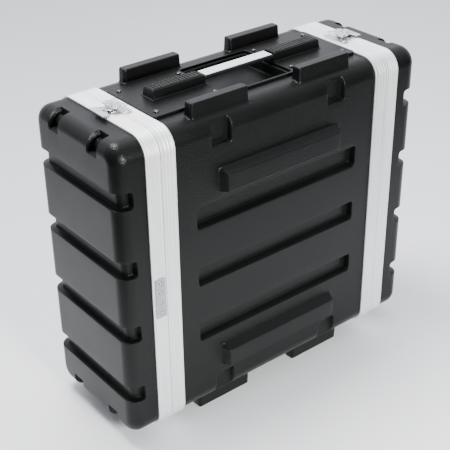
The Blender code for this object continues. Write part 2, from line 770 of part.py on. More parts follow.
def main():
    for old in list(bpy.data.objects):
        bpy.data.objects.remove(old, do_unlink=True)
    body_shell()
    valances()
    splice_plates()
    lid_shells()
    handles()
    rack_rails()
    latches()
    shade()


main()
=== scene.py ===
# Four-unit rack case on its side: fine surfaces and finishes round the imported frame.
import math
import bpy
import numpy as np
from mathutils import Matrix, Vector


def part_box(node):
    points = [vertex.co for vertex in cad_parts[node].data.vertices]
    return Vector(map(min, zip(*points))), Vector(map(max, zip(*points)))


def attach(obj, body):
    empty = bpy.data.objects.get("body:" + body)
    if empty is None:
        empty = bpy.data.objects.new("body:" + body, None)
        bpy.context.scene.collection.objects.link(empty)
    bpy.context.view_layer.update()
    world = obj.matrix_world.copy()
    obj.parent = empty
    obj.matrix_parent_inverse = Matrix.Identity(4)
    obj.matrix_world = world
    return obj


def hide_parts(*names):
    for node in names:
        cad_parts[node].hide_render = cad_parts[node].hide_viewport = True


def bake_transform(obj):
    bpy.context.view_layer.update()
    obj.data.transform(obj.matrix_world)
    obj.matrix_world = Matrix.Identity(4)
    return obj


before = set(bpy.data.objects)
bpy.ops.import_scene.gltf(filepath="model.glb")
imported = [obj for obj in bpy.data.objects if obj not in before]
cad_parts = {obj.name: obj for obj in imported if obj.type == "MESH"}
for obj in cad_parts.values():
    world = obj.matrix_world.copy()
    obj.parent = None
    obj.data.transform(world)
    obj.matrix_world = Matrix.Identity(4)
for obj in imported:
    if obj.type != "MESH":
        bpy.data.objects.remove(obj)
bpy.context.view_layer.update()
mm = 0.001                                   # everything below is written in millimetres

# the case's outline seen along X, taken from the valances
bandLow, bandHigh = (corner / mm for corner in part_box("lid_valance_front"))
halfY = bandHigh.y                           # valance surface, across
halfZ = (bandHigh.z - bandLow.z) / 2         # valance surface, up
midZ = (bandHigh.z + bandLow.z) / 2
bandCorner = 33.0
skinInset = 3.0                              # the plastic lies this far inside the valances
wall = 3.5
ends = {"front": -1, "rear": 1}
sides = {"top": 1, "bottom": -1}


def smoothClamp(t, soft):
    # 0 below, 1 above, a straight ramp between, with parabolas of half-width soft at both bends
    low = (t + soft) ** 2 / (4 * soft)
    high = 1 - (1 + soft - t) ** 2 / (4 * soft)
    ramp = np.where(t < soft, low, np.where(t > 1 - soft, high, t))
    return np.where(t <= -soft, 0.0, np.where(t >= 1 + soft, 1.0, ramp))


def inside(alongA, alongB, plan):
    # distance in from the border of a rectangle whose corners have radius plan, given the
    # distances in from its two pairs of sides
    near = np.minimum(alongA, alongB)
    arc = plan - np.hypot(np.maximum(plan - alongA, 0), np.maximum(plan - alongB, 0))
    return np.where(near < plan, arc, near)


def roundedIn(p, q, plan):
    # moves grid points near a corner so that lines of equal distance from its two sides, p and
    # q, turn into arcs about the centre of the corner's radius; farther out they stay square
    a, b = np.maximum(plan - p, 0), np.maximum(plan - q, 0)
    square = np.maximum(a, b)
    toArc = square / np.maximum(np.hypot(a, b), 1e-9)
    share = toArc + (1 - toArc) * np.clip((square - plan) / plan, 0, 1)
    return np.where(a > 0, (1 - share) * a, 0), np.where(b > 0, (1 - share) * b, 0)


def bossProfile(depth, height, fillet, draft, edge):
    # profile of a moulded boss, from a distance in: a hollow fillet that ends upright at 0, a
    # wall that leans in by draft, a rounded top edge, then level
    foot = fillet - np.sqrt(np.maximum(fillet ** 2 - np.clip(depth + fillet, 0, fillet) ** 2, 0))
    lean = (height - fillet - edge) * np.clip(depth / draft, 0, 1)
    crown = np.sqrt(np.maximum(edge ** 2 - (edge - np.clip(depth - draft, 0, edge)) ** 2, 0))
    return foot + lean + crown


def bossLines(edge, inward, fillet, draft, rim):
    # grid lines that follow a boss's fillet, wall and rounded top edge
    bend = np.array([0, 0.35, 0.65, 0.86, 0.97, 1])
    return edge + inward * np.concatenate((fillet * (bend - 1), draft + rim * (1 - bend)))


def rampLines(edge, ramp, inward, soft=0.3, plan=0.0):
    # grid lines that follow one ramp and its two bends, and the corner rounding in plan
    steps = np.array([-soft, 0, soft, 1 - soft, 1, 1 + soft]) * ramp
    if plan > ramp:
        steps = np.concatenate((steps, np.linspace(ramp * (1 + soft), plan, 4)[1:]))
    return edge + inward * steps


def gridLines(low, high, fill, groups):
    # all the ramps' lines, with evenly spread ones between the limits
    lines = np.sort(np.concatenate([np.linspace(low, high, fill)] + [np.asarray(g) for g in groups]))
    lines = lines[(lines >= low - 1e-6) & (lines <= high + 1e-6)]
    return lines[np.concatenate(([True], np.diff(lines) > 0.02))]


def outlineLoop(coreY, coreZ, linesY, linesZ, arc):
    # a rounded rectangle as core points and outward normals, anticlockwise from the +Y side;
    # a point drawn out by r lies at core + r * normal. arc is a number of even steps, or the
    # angles up from the +-Y sides in degrees
    if np.ndim(arc) == 0:
        arc = np.linspace(0, 90, arc + 1)[1:-1]
    arc = np.radians(arc)
    core, normal = [], []
    for quarter in range(4):
        across = quarter % 2                  # 0: a side facing +-Y, 1: a side facing +-Z
        sign = 1 if quarter < 2 else -1
        lines = linesY if across else linesZ
        lines = lines[::-sign] if across else lines[::sign]
        fixed = np.full(len(lines), sign * (coreZ if across else coreY))
        core.append(np.stack((lines, fixed) if across else (fixed, lines), 1))
        facing = (0.0, float(sign)) if across else (float(sign), 0.0)
        normal.append(np.tile(facing, (len(lines), 1)))
        angle = quarter * math.pi / 2 + (math.pi / 2 - arc[::-1] if across else arc)
        core.append(np.tile(core[-1][-1], (len(angle), 1)))
        normal.append(np.stack((np.cos(angle), np.sin(angle)), 1))
    return np.concatenate(core), np.concatenate(normal)


def gridFaces(rows, columns, closeRows=False, closeColumns=False, start=0):
    # quads of a rows x columns grid of points, optionally wrapped
    r = np.arange(rows if closeRows else rows - 1)[:, None]
    c = np.arange(columns if closeColumns else columns - 1)[None, :]
    r2, c2 = (r + 1) % rows, (c + 1) % columns
    quads = np.stack(np.broadcast_arrays(r * columns + c, r * columns + c2, r2 * columns + c2,
                                         r2 * columns + c), -1)
    return quads.reshape(-1, 4) + start


def enclosed(points, faces):
    # volume inside a closed surface: a sum of signed cones from the origin to its triangles
    total = 0.0
    for group in faces:
        first = points[group[:, 0]]
        for k in range(1, group.shape[1] - 1):
            total += (first * np.cross(points[group[:, k]], points[group[:, k + 1]])).sum() / 6
    return total


def makePiece(name, points, faces, material, body, replaced=(), sharp=None):
    # a mesh piece from millimetre points, riding on a body of the frame; faces is a list of
    # arrays, each of quads or of triangles, turned outward if they face in
    mesh = bpy.data.meshes.new(name)
    points = np.asarray(points, float).reshape(-1, 3) * mm
    faces = [np.asarray(group) for group in faces]
    if enclosed(points, faces) < 0:
        faces = [group[:, ::-1] for group in faces]
    corners = np.concatenate([group.ravel() for group in faces])
    sizes = np.concatenate([np.full(len(group), group.shape[1]) for group in faces])
    mesh.vertices.add(len(points))
    mesh.vertices.foreach_set("co", points.astype(np.float32).ravel())
    mesh.loops.add(len(corners))
    mesh.loops.foreach_set("vertex_index", corners.astype(np.int32))
    mesh.polygons.add(len(sizes))
    mesh.polygons.foreach_set("loop_start", (np.cumsum(sizes) - sizes).astype(np.int32))
    mesh.update(calc_edges=True)
    mesh.validate()
    mesh.shade_smooth()
    if sharp:
        mesh.set_sharp_from_angle(angle=math.radians(sharp))
    mesh.materials.append(material)
    piece = bpy.data.objects.new(name, mesh)
    bpy.context.collection.objects.link(piece)
    even = piece.modifiers.new("flats stay flat", "WEIGHTED_NORMAL")
    even.keep_sharp = True
    if body:
        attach(piece, body)
    if replaced:
        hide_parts(*replaced)
    return piece


def linear(code):
    # sRGB hex to the renderer's linear colour
    values = np.array([int(code[k:k + 2], 16) for k in (1, 3, 5)]) / 255
    values = np.where(values <= 0.04045, values / 12.92, ((values + 0.055) / 1.055) ** 2.4)
    return (*values, 1.0)


def node(tree, kind, links=(), **settings):
    # one node with its settings; links are (input, other node, other's output)
    made = tree.nodes.new(kind)
    for key, value in settings.items():
        if key.startswith("in_"):
            made.inputs[int(key[3:])].default_value = value
        else:
            setattr(made, key, value)
    for socket, other, output in links:
        tree.links.new(other.outputs[output], made.inputs[socket])
    return made


def toned(tree, pattern, dark, pale, low=0.3, high=0.7):
    # a colour between two, following a pattern stretched to its useful range
    tone = node(tree, "ShaderNodeMapRange", [("Value", *pattern)], in_1=low, in_2=high)
    return node(tree, "ShaderNodeMix", [(0, tone, "Result")], data_type="RGBA", in_6=dark, in_7=pale)


def satinBy(tree, shader, pattern, rough):
    # roughness between two values, following a pattern
    satin = node(tree, "ShaderNodeMapRange", [("Value", *pattern)], in_1=0.3, in_2=0.7,
                 in_3=rough[0], in_4=rough[1])
    tree.links.new(satin.outputs["Result"], shader.inputs["Roughness"])


def pitted(tree, shader, pattern, strength, distance):
    # relief from a pattern, distance high in metres where it is 1
    bump = node(tree, "ShaderNodeBump", [("Height", *pattern)])
    bump.inputs["Strength"].default_value = strength
    bump.inputs["Distance"].default_value = distance
    tree.links.new(bump.outputs["Normal"], shader.inputs["Normal"])


def newMaterial(name, **values):
    # a material, its node tree and its shader with the values that hold all over
    material = bpy.data.materials.new(name)
    material.use_nodes = True
    shader = material.node_tree.nodes["Principled BSDF"]
    for key, value in values.items():
        shader.inputs[key].default_value = value
    return material, material.node_tree, shader


def blackAbs(name="moulded black ABS", grain=0.6, base="#0a0b0a", rough=(0.30, 0.38)):
    # ABS moulded against a spark-eroded tool: near black, satin, a leathery grain of about 2 mm
    # that breaks up highlights, and paler scuffs where edges rub
    material, tree, shader = newMaterial(name, IOR=1.5, Metallic=0.0)
    # well below the usual 0.5: set for deep blacks, not a measured property of ABS
    shader.inputs["Specular IOR Level"].default_value = 0.18
    place = node(tree, "ShaderNodeTexCoord")
    coarse = node(tree, "ShaderNodeTexNoise", [("Vector", place, "Object")], in_2=420.0, in_3=2.0,
                  in_4=0.5)                   # 2.4 mm lumps
    fine = node(tree, "ShaderNodeTexVoronoi", [("Vector", place, "Object")], in_2=500.0)  # 2 mm cells
    cloud = node(tree, "ShaderNodeTexNoise", [("Vector", place, "Object")], in_2=9.0, in_3=4.0,
                 in_4=0.65)                   # handling marks, 110 mm across
    scuff = node(tree, "ShaderNodeTexNoise", [("Vector", place, "Object")], in_2=70.0, in_3=5.0,
                 in_4=0.7)
    shape = node(tree, "ShaderNodeNewGeometry")
    edge = node(tree, "ShaderNodeMapRange", [("Value", shape, "Pointiness")], in_1=0.515, in_2=0.60)
    wear = node(tree, "ShaderNodeMath", [(0, edge, "Result"), (1, scuff, "Fac")], operation="MULTIPLY")
    dark = linear(base)
    handled = tuple(c * 1.25 for c in dark[:3]) + (1.0,)
    body = toned(tree, (cloud, "Fac"), dark, handled, 0.35, 0.65)
    worn = node(tree, "ShaderNodeMix", [(0, wear, "Value"), (6, body, 2)], data_type="RGBA",
                in_7=linear("#1c1e1d"))
    tree.links.new(worn.outputs[2], shader.inputs["Base Color"])
    satinBy(tree, shader, (cloud, "Fac"), rough)
    height = node(tree, "ShaderNodeMath", [(0, coarse, "Fac"), (1, fine, "Distance")], operation="ADD")
    pitted(tree, shader, (height, "Value"), grain, 0.0004)
    return material


def brightAluminium(name, base, rough, streakAlong=True):
    # extruded aluminium: the die leaves faint lines along its length, wider apart than real ones
    # (0.2 mm) so that they show. The valances are rougher than bright dipping leaves metal,
    # which was chosen so that they stay evenly bright
    material, tree, shader = newMaterial(name, Metallic=1.0)
    place = node(tree, "ShaderNodeTexCoord")
    # squeezed along X and drawn out along Y and Z, so a line runs round the case
    squeeze = node(tree, "ShaderNodeMapping", [("Vector", place, "Object")])
    squeeze.inputs["Scale"].default_value = (900.0, 5.0, 5.0) if streakAlong else (300.0, 300.0, 300.0)
    lines = node(tree, "ShaderNodeTexNoise", [("Vector", squeeze, "Vector")], in_2=1.0, in_3=3.0,
                 in_4=0.55)
    haze = node(tree, "ShaderNodeTexNoise", [("Vector", place, "Object")], in_2=22.0, in_3=4.0,
                in_4=0.6)
    colour = toned(tree, (lines, "Fac"), linear(base[0]), linear(base[1]))
    tree.links.new(colour.outputs[2], shader.inputs["Base Color"])
    satinBy(tree, shader, (haze, "Fac"), rough)
    pitted(tree, shader, (lines, "Fac"), 0.25, 0.0001)
    return material


def zincPlate(name="bright zinc plate", tones=("#c6c7c8", "#e8e9e9")):
    # zinc on stamped steel: mirror-like with a soft cloudiness and small wipe marks
    material, tree, shader = newMaterial(name, Metallic=1.0)
    place = node(tree, "ShaderNodeTexCoord")
    cloud = node(tree, "ShaderNodeTexNoise", [("Vector", place, "Object")], in_2=160.0, in_3=4.0,
                 in_4=0.6)
    colour = toned(tree, (cloud, "Fac"), linear(tones[0]), linear(tones[1]))
    tree.links.new(colour.outputs[2], shader.inputs["Base Color"])
    satinBy(tree, shader, (cloud, "Fac"), (0.24, 0.38))
    pitted(tree, shader, (cloud, "Fac"), 0.1, 0.0001)
    return material


def powderCoat():
    # powder coat on rolled steel angle: black, with orange peel of about 2 mm
    material, tree, shader = newMaterial("black powder coat", Metallic=0.0, IOR=1.5, Roughness=0.42)
    place = node(tree, "ShaderNodeTexCoord")
    peel = node(tree, "ShaderNodeTexNoise", [("Vector", place, "Object")], in_2=500.0, in_3=2.0)
    colour = toned(tree, (peel, "Fac"), linear("#151516"), linear("#1c1c1e"))
    tree.links.new(colour.outputs[2], shader.inputs["Base Color"])
    pitted(tree, shader, (peel, "Fac"), 0.3, 0.0003)
    return material


def whiteVinyl():
    # silvery white vinyl strip let into the strap: smooth, faintly pearly, with fine wrinkles
    material, tree, shader = newMaterial("silver-white vinyl", Metallic=0.0, IOR=1.52, Roughness=0.32)
    place = node(tree, "ShaderNodeTexCoord")
    pearl = node(tree, "ShaderNodeTexNoise", [("Vector", place, "Object")], in_2=240.0, in_3=3.0)
    colour = toned(tree, (pearl, "Fac"), linear("#d9dadd"), linear("#e9eaec"))
    tree.links.new(colour.outputs[2], shader.inputs["Base Color"])
    pitted(tree, shader, (pearl, "Fac"), 0.08, 0.0002)
    return material


moulded = blackAbs()
strapRubber = blackAbs("strap rubber", 0.25, "#0f1010", (0.42, 0.52))
aluminium = brightAluminium("bright-dipped aluminium", ("#e9eaeb", "#f7f8f8"), (0.56, 0.64))
dullAluminium = brightAluminium("dull aluminium sheet", ("#a3a4a6", "#bcbdbf"), (0.36, 0.48), False)
zinc = zincPlate()
dullZinc = zincPlate("dull zinc screws", ("#5c5c5b", "#848483"))
blackSteel = powderCoat()
vinyl = whiteVinyl()
print("materials ready")

bodySpec = {
    "cornerR": bandCorner - skinInset, "arcLines": 37,
    "endX": 232.4,                            # hidden inside the valances' channels
    "groove": {"halfX": 172.0, "depth": 12.0, "z": ((353.5, 393.5), (247.5, 284.5), (138.5, 174.5)),
               "ramp": 2.2, "under": 2.2, "soft": 0.16, "plan": 5.0},  # the lower ledge leans more
    "bar": {"halfX": 128.0, "height": 15.5, "z": ((406, 449), (68, 112)), "draft": 8.0, "soft": 0.16,
            "under": 1.8},                    # the lower flank is that much steeper
    "block": {"x": (52.0, 165.0), "y": (78.0, 98.0), "height": 23.0, "fillet": 3.0, "draft": 1.0,
              "edge": 2.2, "plan": 5.0},
    "dent": {"x": (101.0, 140.0), "depth": 9.0, "low": 217.0, "ramp": 3.0, "plan": 5.0},
    "well": {"halfX": 66.0, "halfY": 57.0, "depth": 17.0, "draft": 2.0},
}


def bothWays(values):
    # the same lines on both sides of the middle
    return np.concatenate((values, -values))


def bodySkin(inset, grow, xLines):
    # the outline tube with everything moulded into it; grow widens hollows and narrows mounds,
    # so that the inner skin lies an even wall behind the outer one
    spec = bodySpec
    radius = spec["cornerR"] + skinInset - inset
    coreY, coreZ = halfY - bandCorner, halfZ - bandCorner
    g, b, k, d, w = (spec[key] for key in ("groove", "bar", "block", "dent", "well"))
    zGroups = []
    for low, high in g["z"]:
        zGroups += [rampLines(low - halfZ, g["ramp"] * g["under"], 1, g["soft"], g["plan"] * g["under"]),
                    rampLines(high - halfZ, g["ramp"], -1, g["soft"], g["plan"])]
    for low, high in b["z"]:
        zGroups += [rampLines(low - halfZ, b["draft"] / b["under"], 1, b["soft"]),
                    rampLines(high - halfZ, b["draft"], -1, b["soft"])]
    zGroups.append(bothWays(rampLines(d["low"], d["ramp"], 1, 0.3, d["plan"])))
    zLines = gridLines(-coreZ, coreZ, 16, zGroups)
    blockLines = [bossLines(edge, way, k["fillet"], k["draft"], k["edge"])
                  for edge, way in zip(k["y"], (1, -1))]
    yLines = gridLines(-coreY, coreY, 8, [bothWays(blockLines[0]),
                                          bothWays(rampLines(w["halfY"], w["draft"], -1))])
    paintedShadeMasks = blockLines[1][blockLines[1] > coreY + 0.5]
    lean = np.degrees(np.arccos(np.clip((paintedShadeMasks - coreY) / spec["cornerR"], 0, 1)))
    arc = gridLines(0, 90, spec["arcLines"], [lean])[1:-1]
    core, normal = outlineLoop(coreY, coreZ, yLines, zLines, arc)
    x = xLines[:, None]
    y = (core + normal * radius)[None, :, 0] + 0 * x
    z = (core + normal * radius)[None, :, 1] + 0 * x
    flatY = np.abs(normal[None, :, 0]) > 0.999
    signY, signZ = np.sign(y), np.sign(z)
    ax, ay, az = np.abs(x) + 0 * y, np.abs(y), np.abs(z)

    depth = 0 * y                             # grooves and bars of the big faces
    for low, high in g["z"]:
        upward = np.minimum((z - low + halfZ + grow) / g["under"], high - halfZ - z + grow)
        within = inside(upward, g["halfX"] - ax + grow, g["plan"])
        depth += g["depth"] * smoothClamp(within / g["ramp"], g["soft"])
    for low, high in b["z"]:
        up = inside(np.minimum((z - low + halfZ - grow) * b["under"], high - halfZ - grow - z),
                    b["halfX"] - grow - ax, b["draft"])
        depth -= b["height"] * smoothClamp(up / b["draft"], b["soft"])
    y = np.where(flatY, y - signY * depth, y)

    within = inside(np.minimum(ax - d["x"][0], d["x"][1] - ax) + grow, az - d["low"] + grow, d["plan"])
    floorY = halfY - d["depth"] - inset
    y = y - signY * smoothClamp(within / d["ramp"], 0.3) * np.maximum(np.abs(y) - floorY, 0)

    p = np.minimum(ax - k["x"][0], k["x"][1] - ax) - grow
    q = np.minimum(ay - k["y"][0], k["y"][1] - ay) - grow
    onEnds = np.abs(normal[None, :, 1]) > 0.3
    within = np.where(onEnds, np.minimum(p, q), -99)   # -99: far outside
    moveX, moveY = roundedIn(p, q, k["plan"])
    x = x + onEnds * np.sign(x) * np.where(ax < sum(k["x"]) / 2, 1, -1) * moveX
    y = y + onEnds * signY * np.where(ay < sum(k["y"]) / 2, 1, -1) * moveY
    share = bossProfile(within, k["height"], k["fillet"], k["draft"], k["edge"]) / k["height"]
    topZ = halfZ - inset + k["height"]
    z = z + signZ * share * (topZ - np.abs(z)) * onEnds
    inWell = smoothClamp((w["halfX"] + grow - ax) / w["draft"], 0.3) * smoothClamp(
        (w["halfY"] + grow - ay) / w["draft"], 0.3)
    onTop = np.abs(normal[None, :, 1]) > 0.999
    z = np.where(onTop, z - signZ * w["depth"] * inWell, z)
    return np.stack((x + 0 * y, y, z + midZ), -1)


def bodyLines(fine):
    # lines along the case; the inside, seen only when the lids are off, makes do with fewer
    spec = bodySpec
    g, b, k, d, w = (spec[key] for key in ("groove", "bar", "block", "dent", "well"))
    if fine:
        groups = [rampLines(g["halfX"], g["ramp"], -1, g["soft"], g["plan"]),
                  rampLines(b["halfX"], b["draft"], -1, b["soft"]),
                  bossLines(k["x"][0], 1, k["fillet"], k["draft"], k["edge"]),
                  bossLines(k["x"][1], -1, k["fillet"], k["draft"], k["edge"]),
                  k["x"][0] + np.linspace(k["edge"] + k["draft"], k["plan"], 3),
                  k["x"][1] - np.linspace(k["edge"] + k["draft"], k["plan"], 3),
                  rampLines(d["x"][0], d["ramp"], 1), rampLines(d["x"][1], d["ramp"], -1),
                  rampLines(w["halfX"], w["draft"], -1)]
    else:
        groups = [(g["halfX"] + wall, g["halfX"] + wall - g["ramp"]),
                  (b["halfX"] - wall, b["halfX"] - wall - b["draft"]),
                  k["x"][0] + wall + np.array((-3, -1, 0, 1, 3)),
                  k["x"][1] - wall - np.array((-3, -1, 0, 1, 3)),
                  d["x"][0] - wall + np.array((0, 3)), d["x"][1] + wall - np.array((0, 3)),
                  w["halfX"] + wall - np.array((0, 2))]
    return gridLines(-spec["endX"], spec["endX"], 18, [bothWays(np.asarray(g)) for g in groups])


outer = bodySkin(skinInset, 0.0, bodyLines(True))
inner = bodySkin(skinInset + wall, wall, bodyLines(False))
sleeve = np.concatenate((outer, inner[::-1]))
makePiece("body_sleeve", sleeve, [gridFaces(*sleeve.shape[:2], True, True)], moulded, "case",
          ["body_shell"])
print("body sleeve", outer.shape, inner.shape)

lidSpec = {
    "faceX": 315.0, "edgeR": 22.0, "startX": 241.3,
    "pitch": 119.0, "half": 15.0, "depth": 10.0, "fromX": 287.0, "ramp": 2.0, "soft": 0.2, "plan": 6.0,
    "notchY": 54.0, "notchHalf": 13.5, "notchX": 289.5, "notchLow": 237.5, "notchPlan": 2.5,
    "notchRamp": 1.2, "arcSteps": 24, "bendSteps": 18,
    "steps": ((0.0, 4.0), (3.4, 6.0)),        # each step of a notch: how much narrower, how deep
}


def lidPatch(loopY, loopZ, arcSteps, linesY, linesZ, coreY, coreZ):
    # fills a rounded rectangle with a square grid whose rim is the loop itself; straight lines
    # stay straight, and only the corner arcs' lines lean
    half = arcSteps // 2
    rows, columns = len(linesZ) + 2 * half, len(linesY) + 2 * half
    n = len(loopY)
    first = -half % n                         # middle of the corner arc below the +Y side
    order = (first + np.arange(n)) % n
    right = order[:rows]
    top = order[rows - 1:rows - 1 + columns]
    left = order[rows + columns - 2:2 * rows + columns - 2]
    bottom = np.concatenate((order[2 * rows + columns - 3:], order[:1]))
    index = np.full((rows, columns), -1)
    index[:, -1] = right
    index[-1, ::-1] = top
    index[::-1, 0] = left
    index[0, :] = bottom
    zSide, yTop = loopZ[right], loopY[top][::-1]
    ySide, zTop = loopY[right], loopZ[top][::-1]
    lean = np.clip((np.abs(zSide) - coreZ) / (abs(zSide[0]) - coreZ), 0, 1)
    fan = np.clip((np.abs(yTop) - coreY) / (abs(yTop[0]) - coreY), 0, 1)
    leaning = coreZ + lean[:, None] * (zTop - coreZ)[None]
    z = np.where(lean[:, None] > 0, np.sign(zSide)[:, None] * leaning, zSide[:, None])
    fanned = coreY + fan[None] * (ySide - coreY)[:, None]
    y = np.where(fan[None] > 0, np.sign(yTop)[None] * fanned, yTop[None])
    return index, y, z


def lidSkin(side, thick):
    # side walls and rounded edge swept round the outline, then the face as a grid; grooves and
    # notches push points in along the wall's own normal
    spec = lidSpec
    coreY, coreZ = halfY - bandCorner, halfZ - bandCorner
    radius = bandCorner - skinInset - thick
    edge = spec["edgeR"] - thick
    flatX = spec["faceX"] - spec["edgeR"]
    zGroups = []
    for k in (-1.5, -0.5, 0.5, 1.5):
        middle = k * spec["pitch"]
        zGroups += [rampLines(middle + way * (spec["half"] + thick), spec["ramp"], -way, spec["soft"],
                              spec["plan"]) for way in (-1, 1)]
    zLines = gridLines(-coreZ, coreZ, 22, zGroups)
    yGroups = []
    for sign in (-1, 1):
        for narrower, _ in spec["steps"]:
            for way in (-1, 1):
                wallAt = sign * spec["notchY"] + way * (spec["notchHalf"] + thick - narrower)
                yGroups.append(rampLines(wallAt, spec["notchRamp"], -way))
    yLines = gridLines(-coreY, coreY, 10, yGroups)
    core, normal = outlineLoop(coreY, coreZ, yLines, zLines, spec["arcSteps"])
    straight = np.sort(np.concatenate((np.linspace(spec["startX"], flatX, 12),
                                       rampLines(spec["notchX"] - thick, 1.5, 1),
                                       rampLines(spec["fromX"] - thick, spec["ramp"], 1, spec["soft"],
                                                 spec["plan"]))))
    straight = straight[straight < flatX - 0.01]
    bend = np.linspace(0, math.pi / 2, spec["bendSteps"] + 1)
    xs = np.concatenate((straight, flatX + edge * np.sin(bend)))
    angle = np.concatenate((np.zeros(len(straight)), bend))[:, None]
    reach = radius - edge + edge * np.cos(angle)
    y = core[None, :, 0] + normal[None, :, 0] * reach
    z = core[None, :, 1] + normal[None, :, 1] * reach
    x = xs[:, None] + 0 * y
    away = np.stack((np.sin(angle) + 0 * y, normal[None, :, 0] * np.cos(angle),
                     normal[None, :, 1] * np.cos(angle)), -1)
    index, faceY, faceZ = lidPatch(y[-1], z[-1], spec["arcSteps"], yLines, zLines, coreY, coreZ)
    rim = (x.shape[0] - 1) * x.shape[1]
    index = np.where(index >= 0, index + rim, index)
    fresh = index < 0
    index[fresh] = x.size + np.arange(fresh.sum())
    points = np.concatenate((np.stack((x, y, z), -1).reshape(-1, 3),
                             np.stack((np.full(fresh.sum(), xs[-1]), faceY[fresh], faceZ[fresh]), -1)))
    away = np.concatenate((away.reshape(-1, 3), np.tile((1.0, 0.0, 0.0), (fresh.sum(), 1))))

    px, py, pz = points.T
    inward = 0 * px
    for k in (-1.5, -0.5, 0.5, 1.5):
        within = inside(spec["half"] + thick - np.abs(pz - k * spec["pitch"]),
                        px - spec["fromX"] + thick, spec["plan"])
        inward += spec["depth"] * smoothClamp(within / spec["ramp"], spec["soft"])
    notch = 0 * px
    for narrower, deep in spec["steps"]:
        for sign in (-1, 1):
            across = spec["notchHalf"] + thick - narrower - np.abs(py - sign * spec["notchY"])
            around = np.minimum(px - spec["notchX"], np.abs(pz) - spec["notchLow"]) + thick - narrower * 0.4
            within = inside(across, around, spec["notchPlan"])
            notch += deep * smoothClamp(within / spec["notchRamp"], 0.25)
    points = points - away * (inward + notch)[:, None]
    points[:, 0] *= side
    points[:, 2] += midZ
    faces = np.concatenate((gridFaces(x.shape[0], x.shape[1], False, True), patchFaces(index)))
    return points, faces, x.shape[1]


def patchFaces(index):
    # quads between neighbouring points of a table of point numbers
    return np.stack((index[:-1, :-1], index[:-1, 1:], index[1:, 1:], index[1:, :-1]), -1).reshape(-1, 4)


for end, side in ends.items():
    outerPoints, outerFaces, ring = lidSkin(side, 0.0)
    innerPoints, innerFaces, _ = lidSkin(side, wall)
    start = len(outerPoints)
    k = np.arange(ring)
    lip = np.stack((k, (k + 1) % ring, (k + 1) % ring + start, k + start), -1)
    faces = np.concatenate((outerFaces, innerFaces[:, ::-1] + start, lip[:, ::-1]))
    makePiece("lid_cover_" + end, np.concatenate((outerPoints, innerPoints)), [faces], moulded,
              "lid_" + end, ["lid_shell_" + end])
    print("lid", end, len(faces))

bandSpec = {
    "width": 27.0, "split": 237.0, "gap": 0.3, "web": 3.7, "outerLeg": 2.7, "innerLeg": 2.5,
    "reach": 22.0, "edgeR": 0.9,
    "lidRibs": 5, "bodyRibs": 3, "ribDepth": 0.45,
}


def bandProfile(ribs, plain):
    # (distance from the split, depth below the surface): ribbed outer face, web, inner leg
    spec = bandSpec
    width, radius = spec["width"] - spec["gap"], spec["edgeR"]
    turn = np.linspace(0, math.pi / 2, 5)
    u = np.linspace(radius, width - radius, 12 * ribs + 41)[1:-1]
    share = np.clip((u - plain) / (width - 2 * plain), 0, 1)
    wave = 0.5 - 0.5 * np.cos(share * ribs * 2 * math.pi)
    depth = spec["ribDepth"] * np.clip(wave * 2.2, 0, 1) * ((share > 0) & (share < 1))
    back = skinInset + wall + 0.3
    parts = [np.stack((radius - radius * np.sin(turn[::-1]), radius - radius * np.cos(turn[::-1])), 1),
             np.stack((u, depth), 1),
             np.stack((width - radius + radius * np.sin(turn), radius - radius * np.cos(turn)), 1),
             np.array([(width, spec["outerLeg"]), (spec["web"], spec["outerLeg"]), (spec["web"], back),
                       (spec["reach"], back), (spec["reach"], back + spec["innerLeg"]),
                       (0.0, back + spec["innerLeg"])])]
    return np.concatenate(parts)


def makeBand(name, side, outward, ribs, plain, body):
    # the channel's profile carried round the case's outline
    profile = bandProfile(ribs, plain)
    core, normal = outlineLoop(halfY - bandCorner, halfZ - bandCorner,
                               np.linspace(bandCorner - halfY, halfY - bandCorner, 12),
                               np.linspace(bandCorner - halfZ, halfZ - bandCorner, 24), 24)
    split = bandSpec["split"] + outward * bandSpec["gap"]
    x = side * (split + outward * profile[:, 0])[:, None] + 0 * core[None, :, 0]
    ring = core[None] + normal[None] * (bandCorner - profile[:, 1])[:, None, None]
    points = np.stack((x, ring[..., 0], ring[..., 1] + midZ), -1)
    makePiece(name + "_ribbed", points, [gridFaces(*points.shape[:2], True, True)], aluminium, body,
              [name], sharp=50)


for end, side in ends.items():
    makeBand("lid_valance_" + end, side, 1, bandSpec["lidRibs"], 3.0, "lid_" + end)
    makeBand("body_valance_" + end, side, -1, bandSpec["bodyRibs"], 4.0, "case")
print("valances")


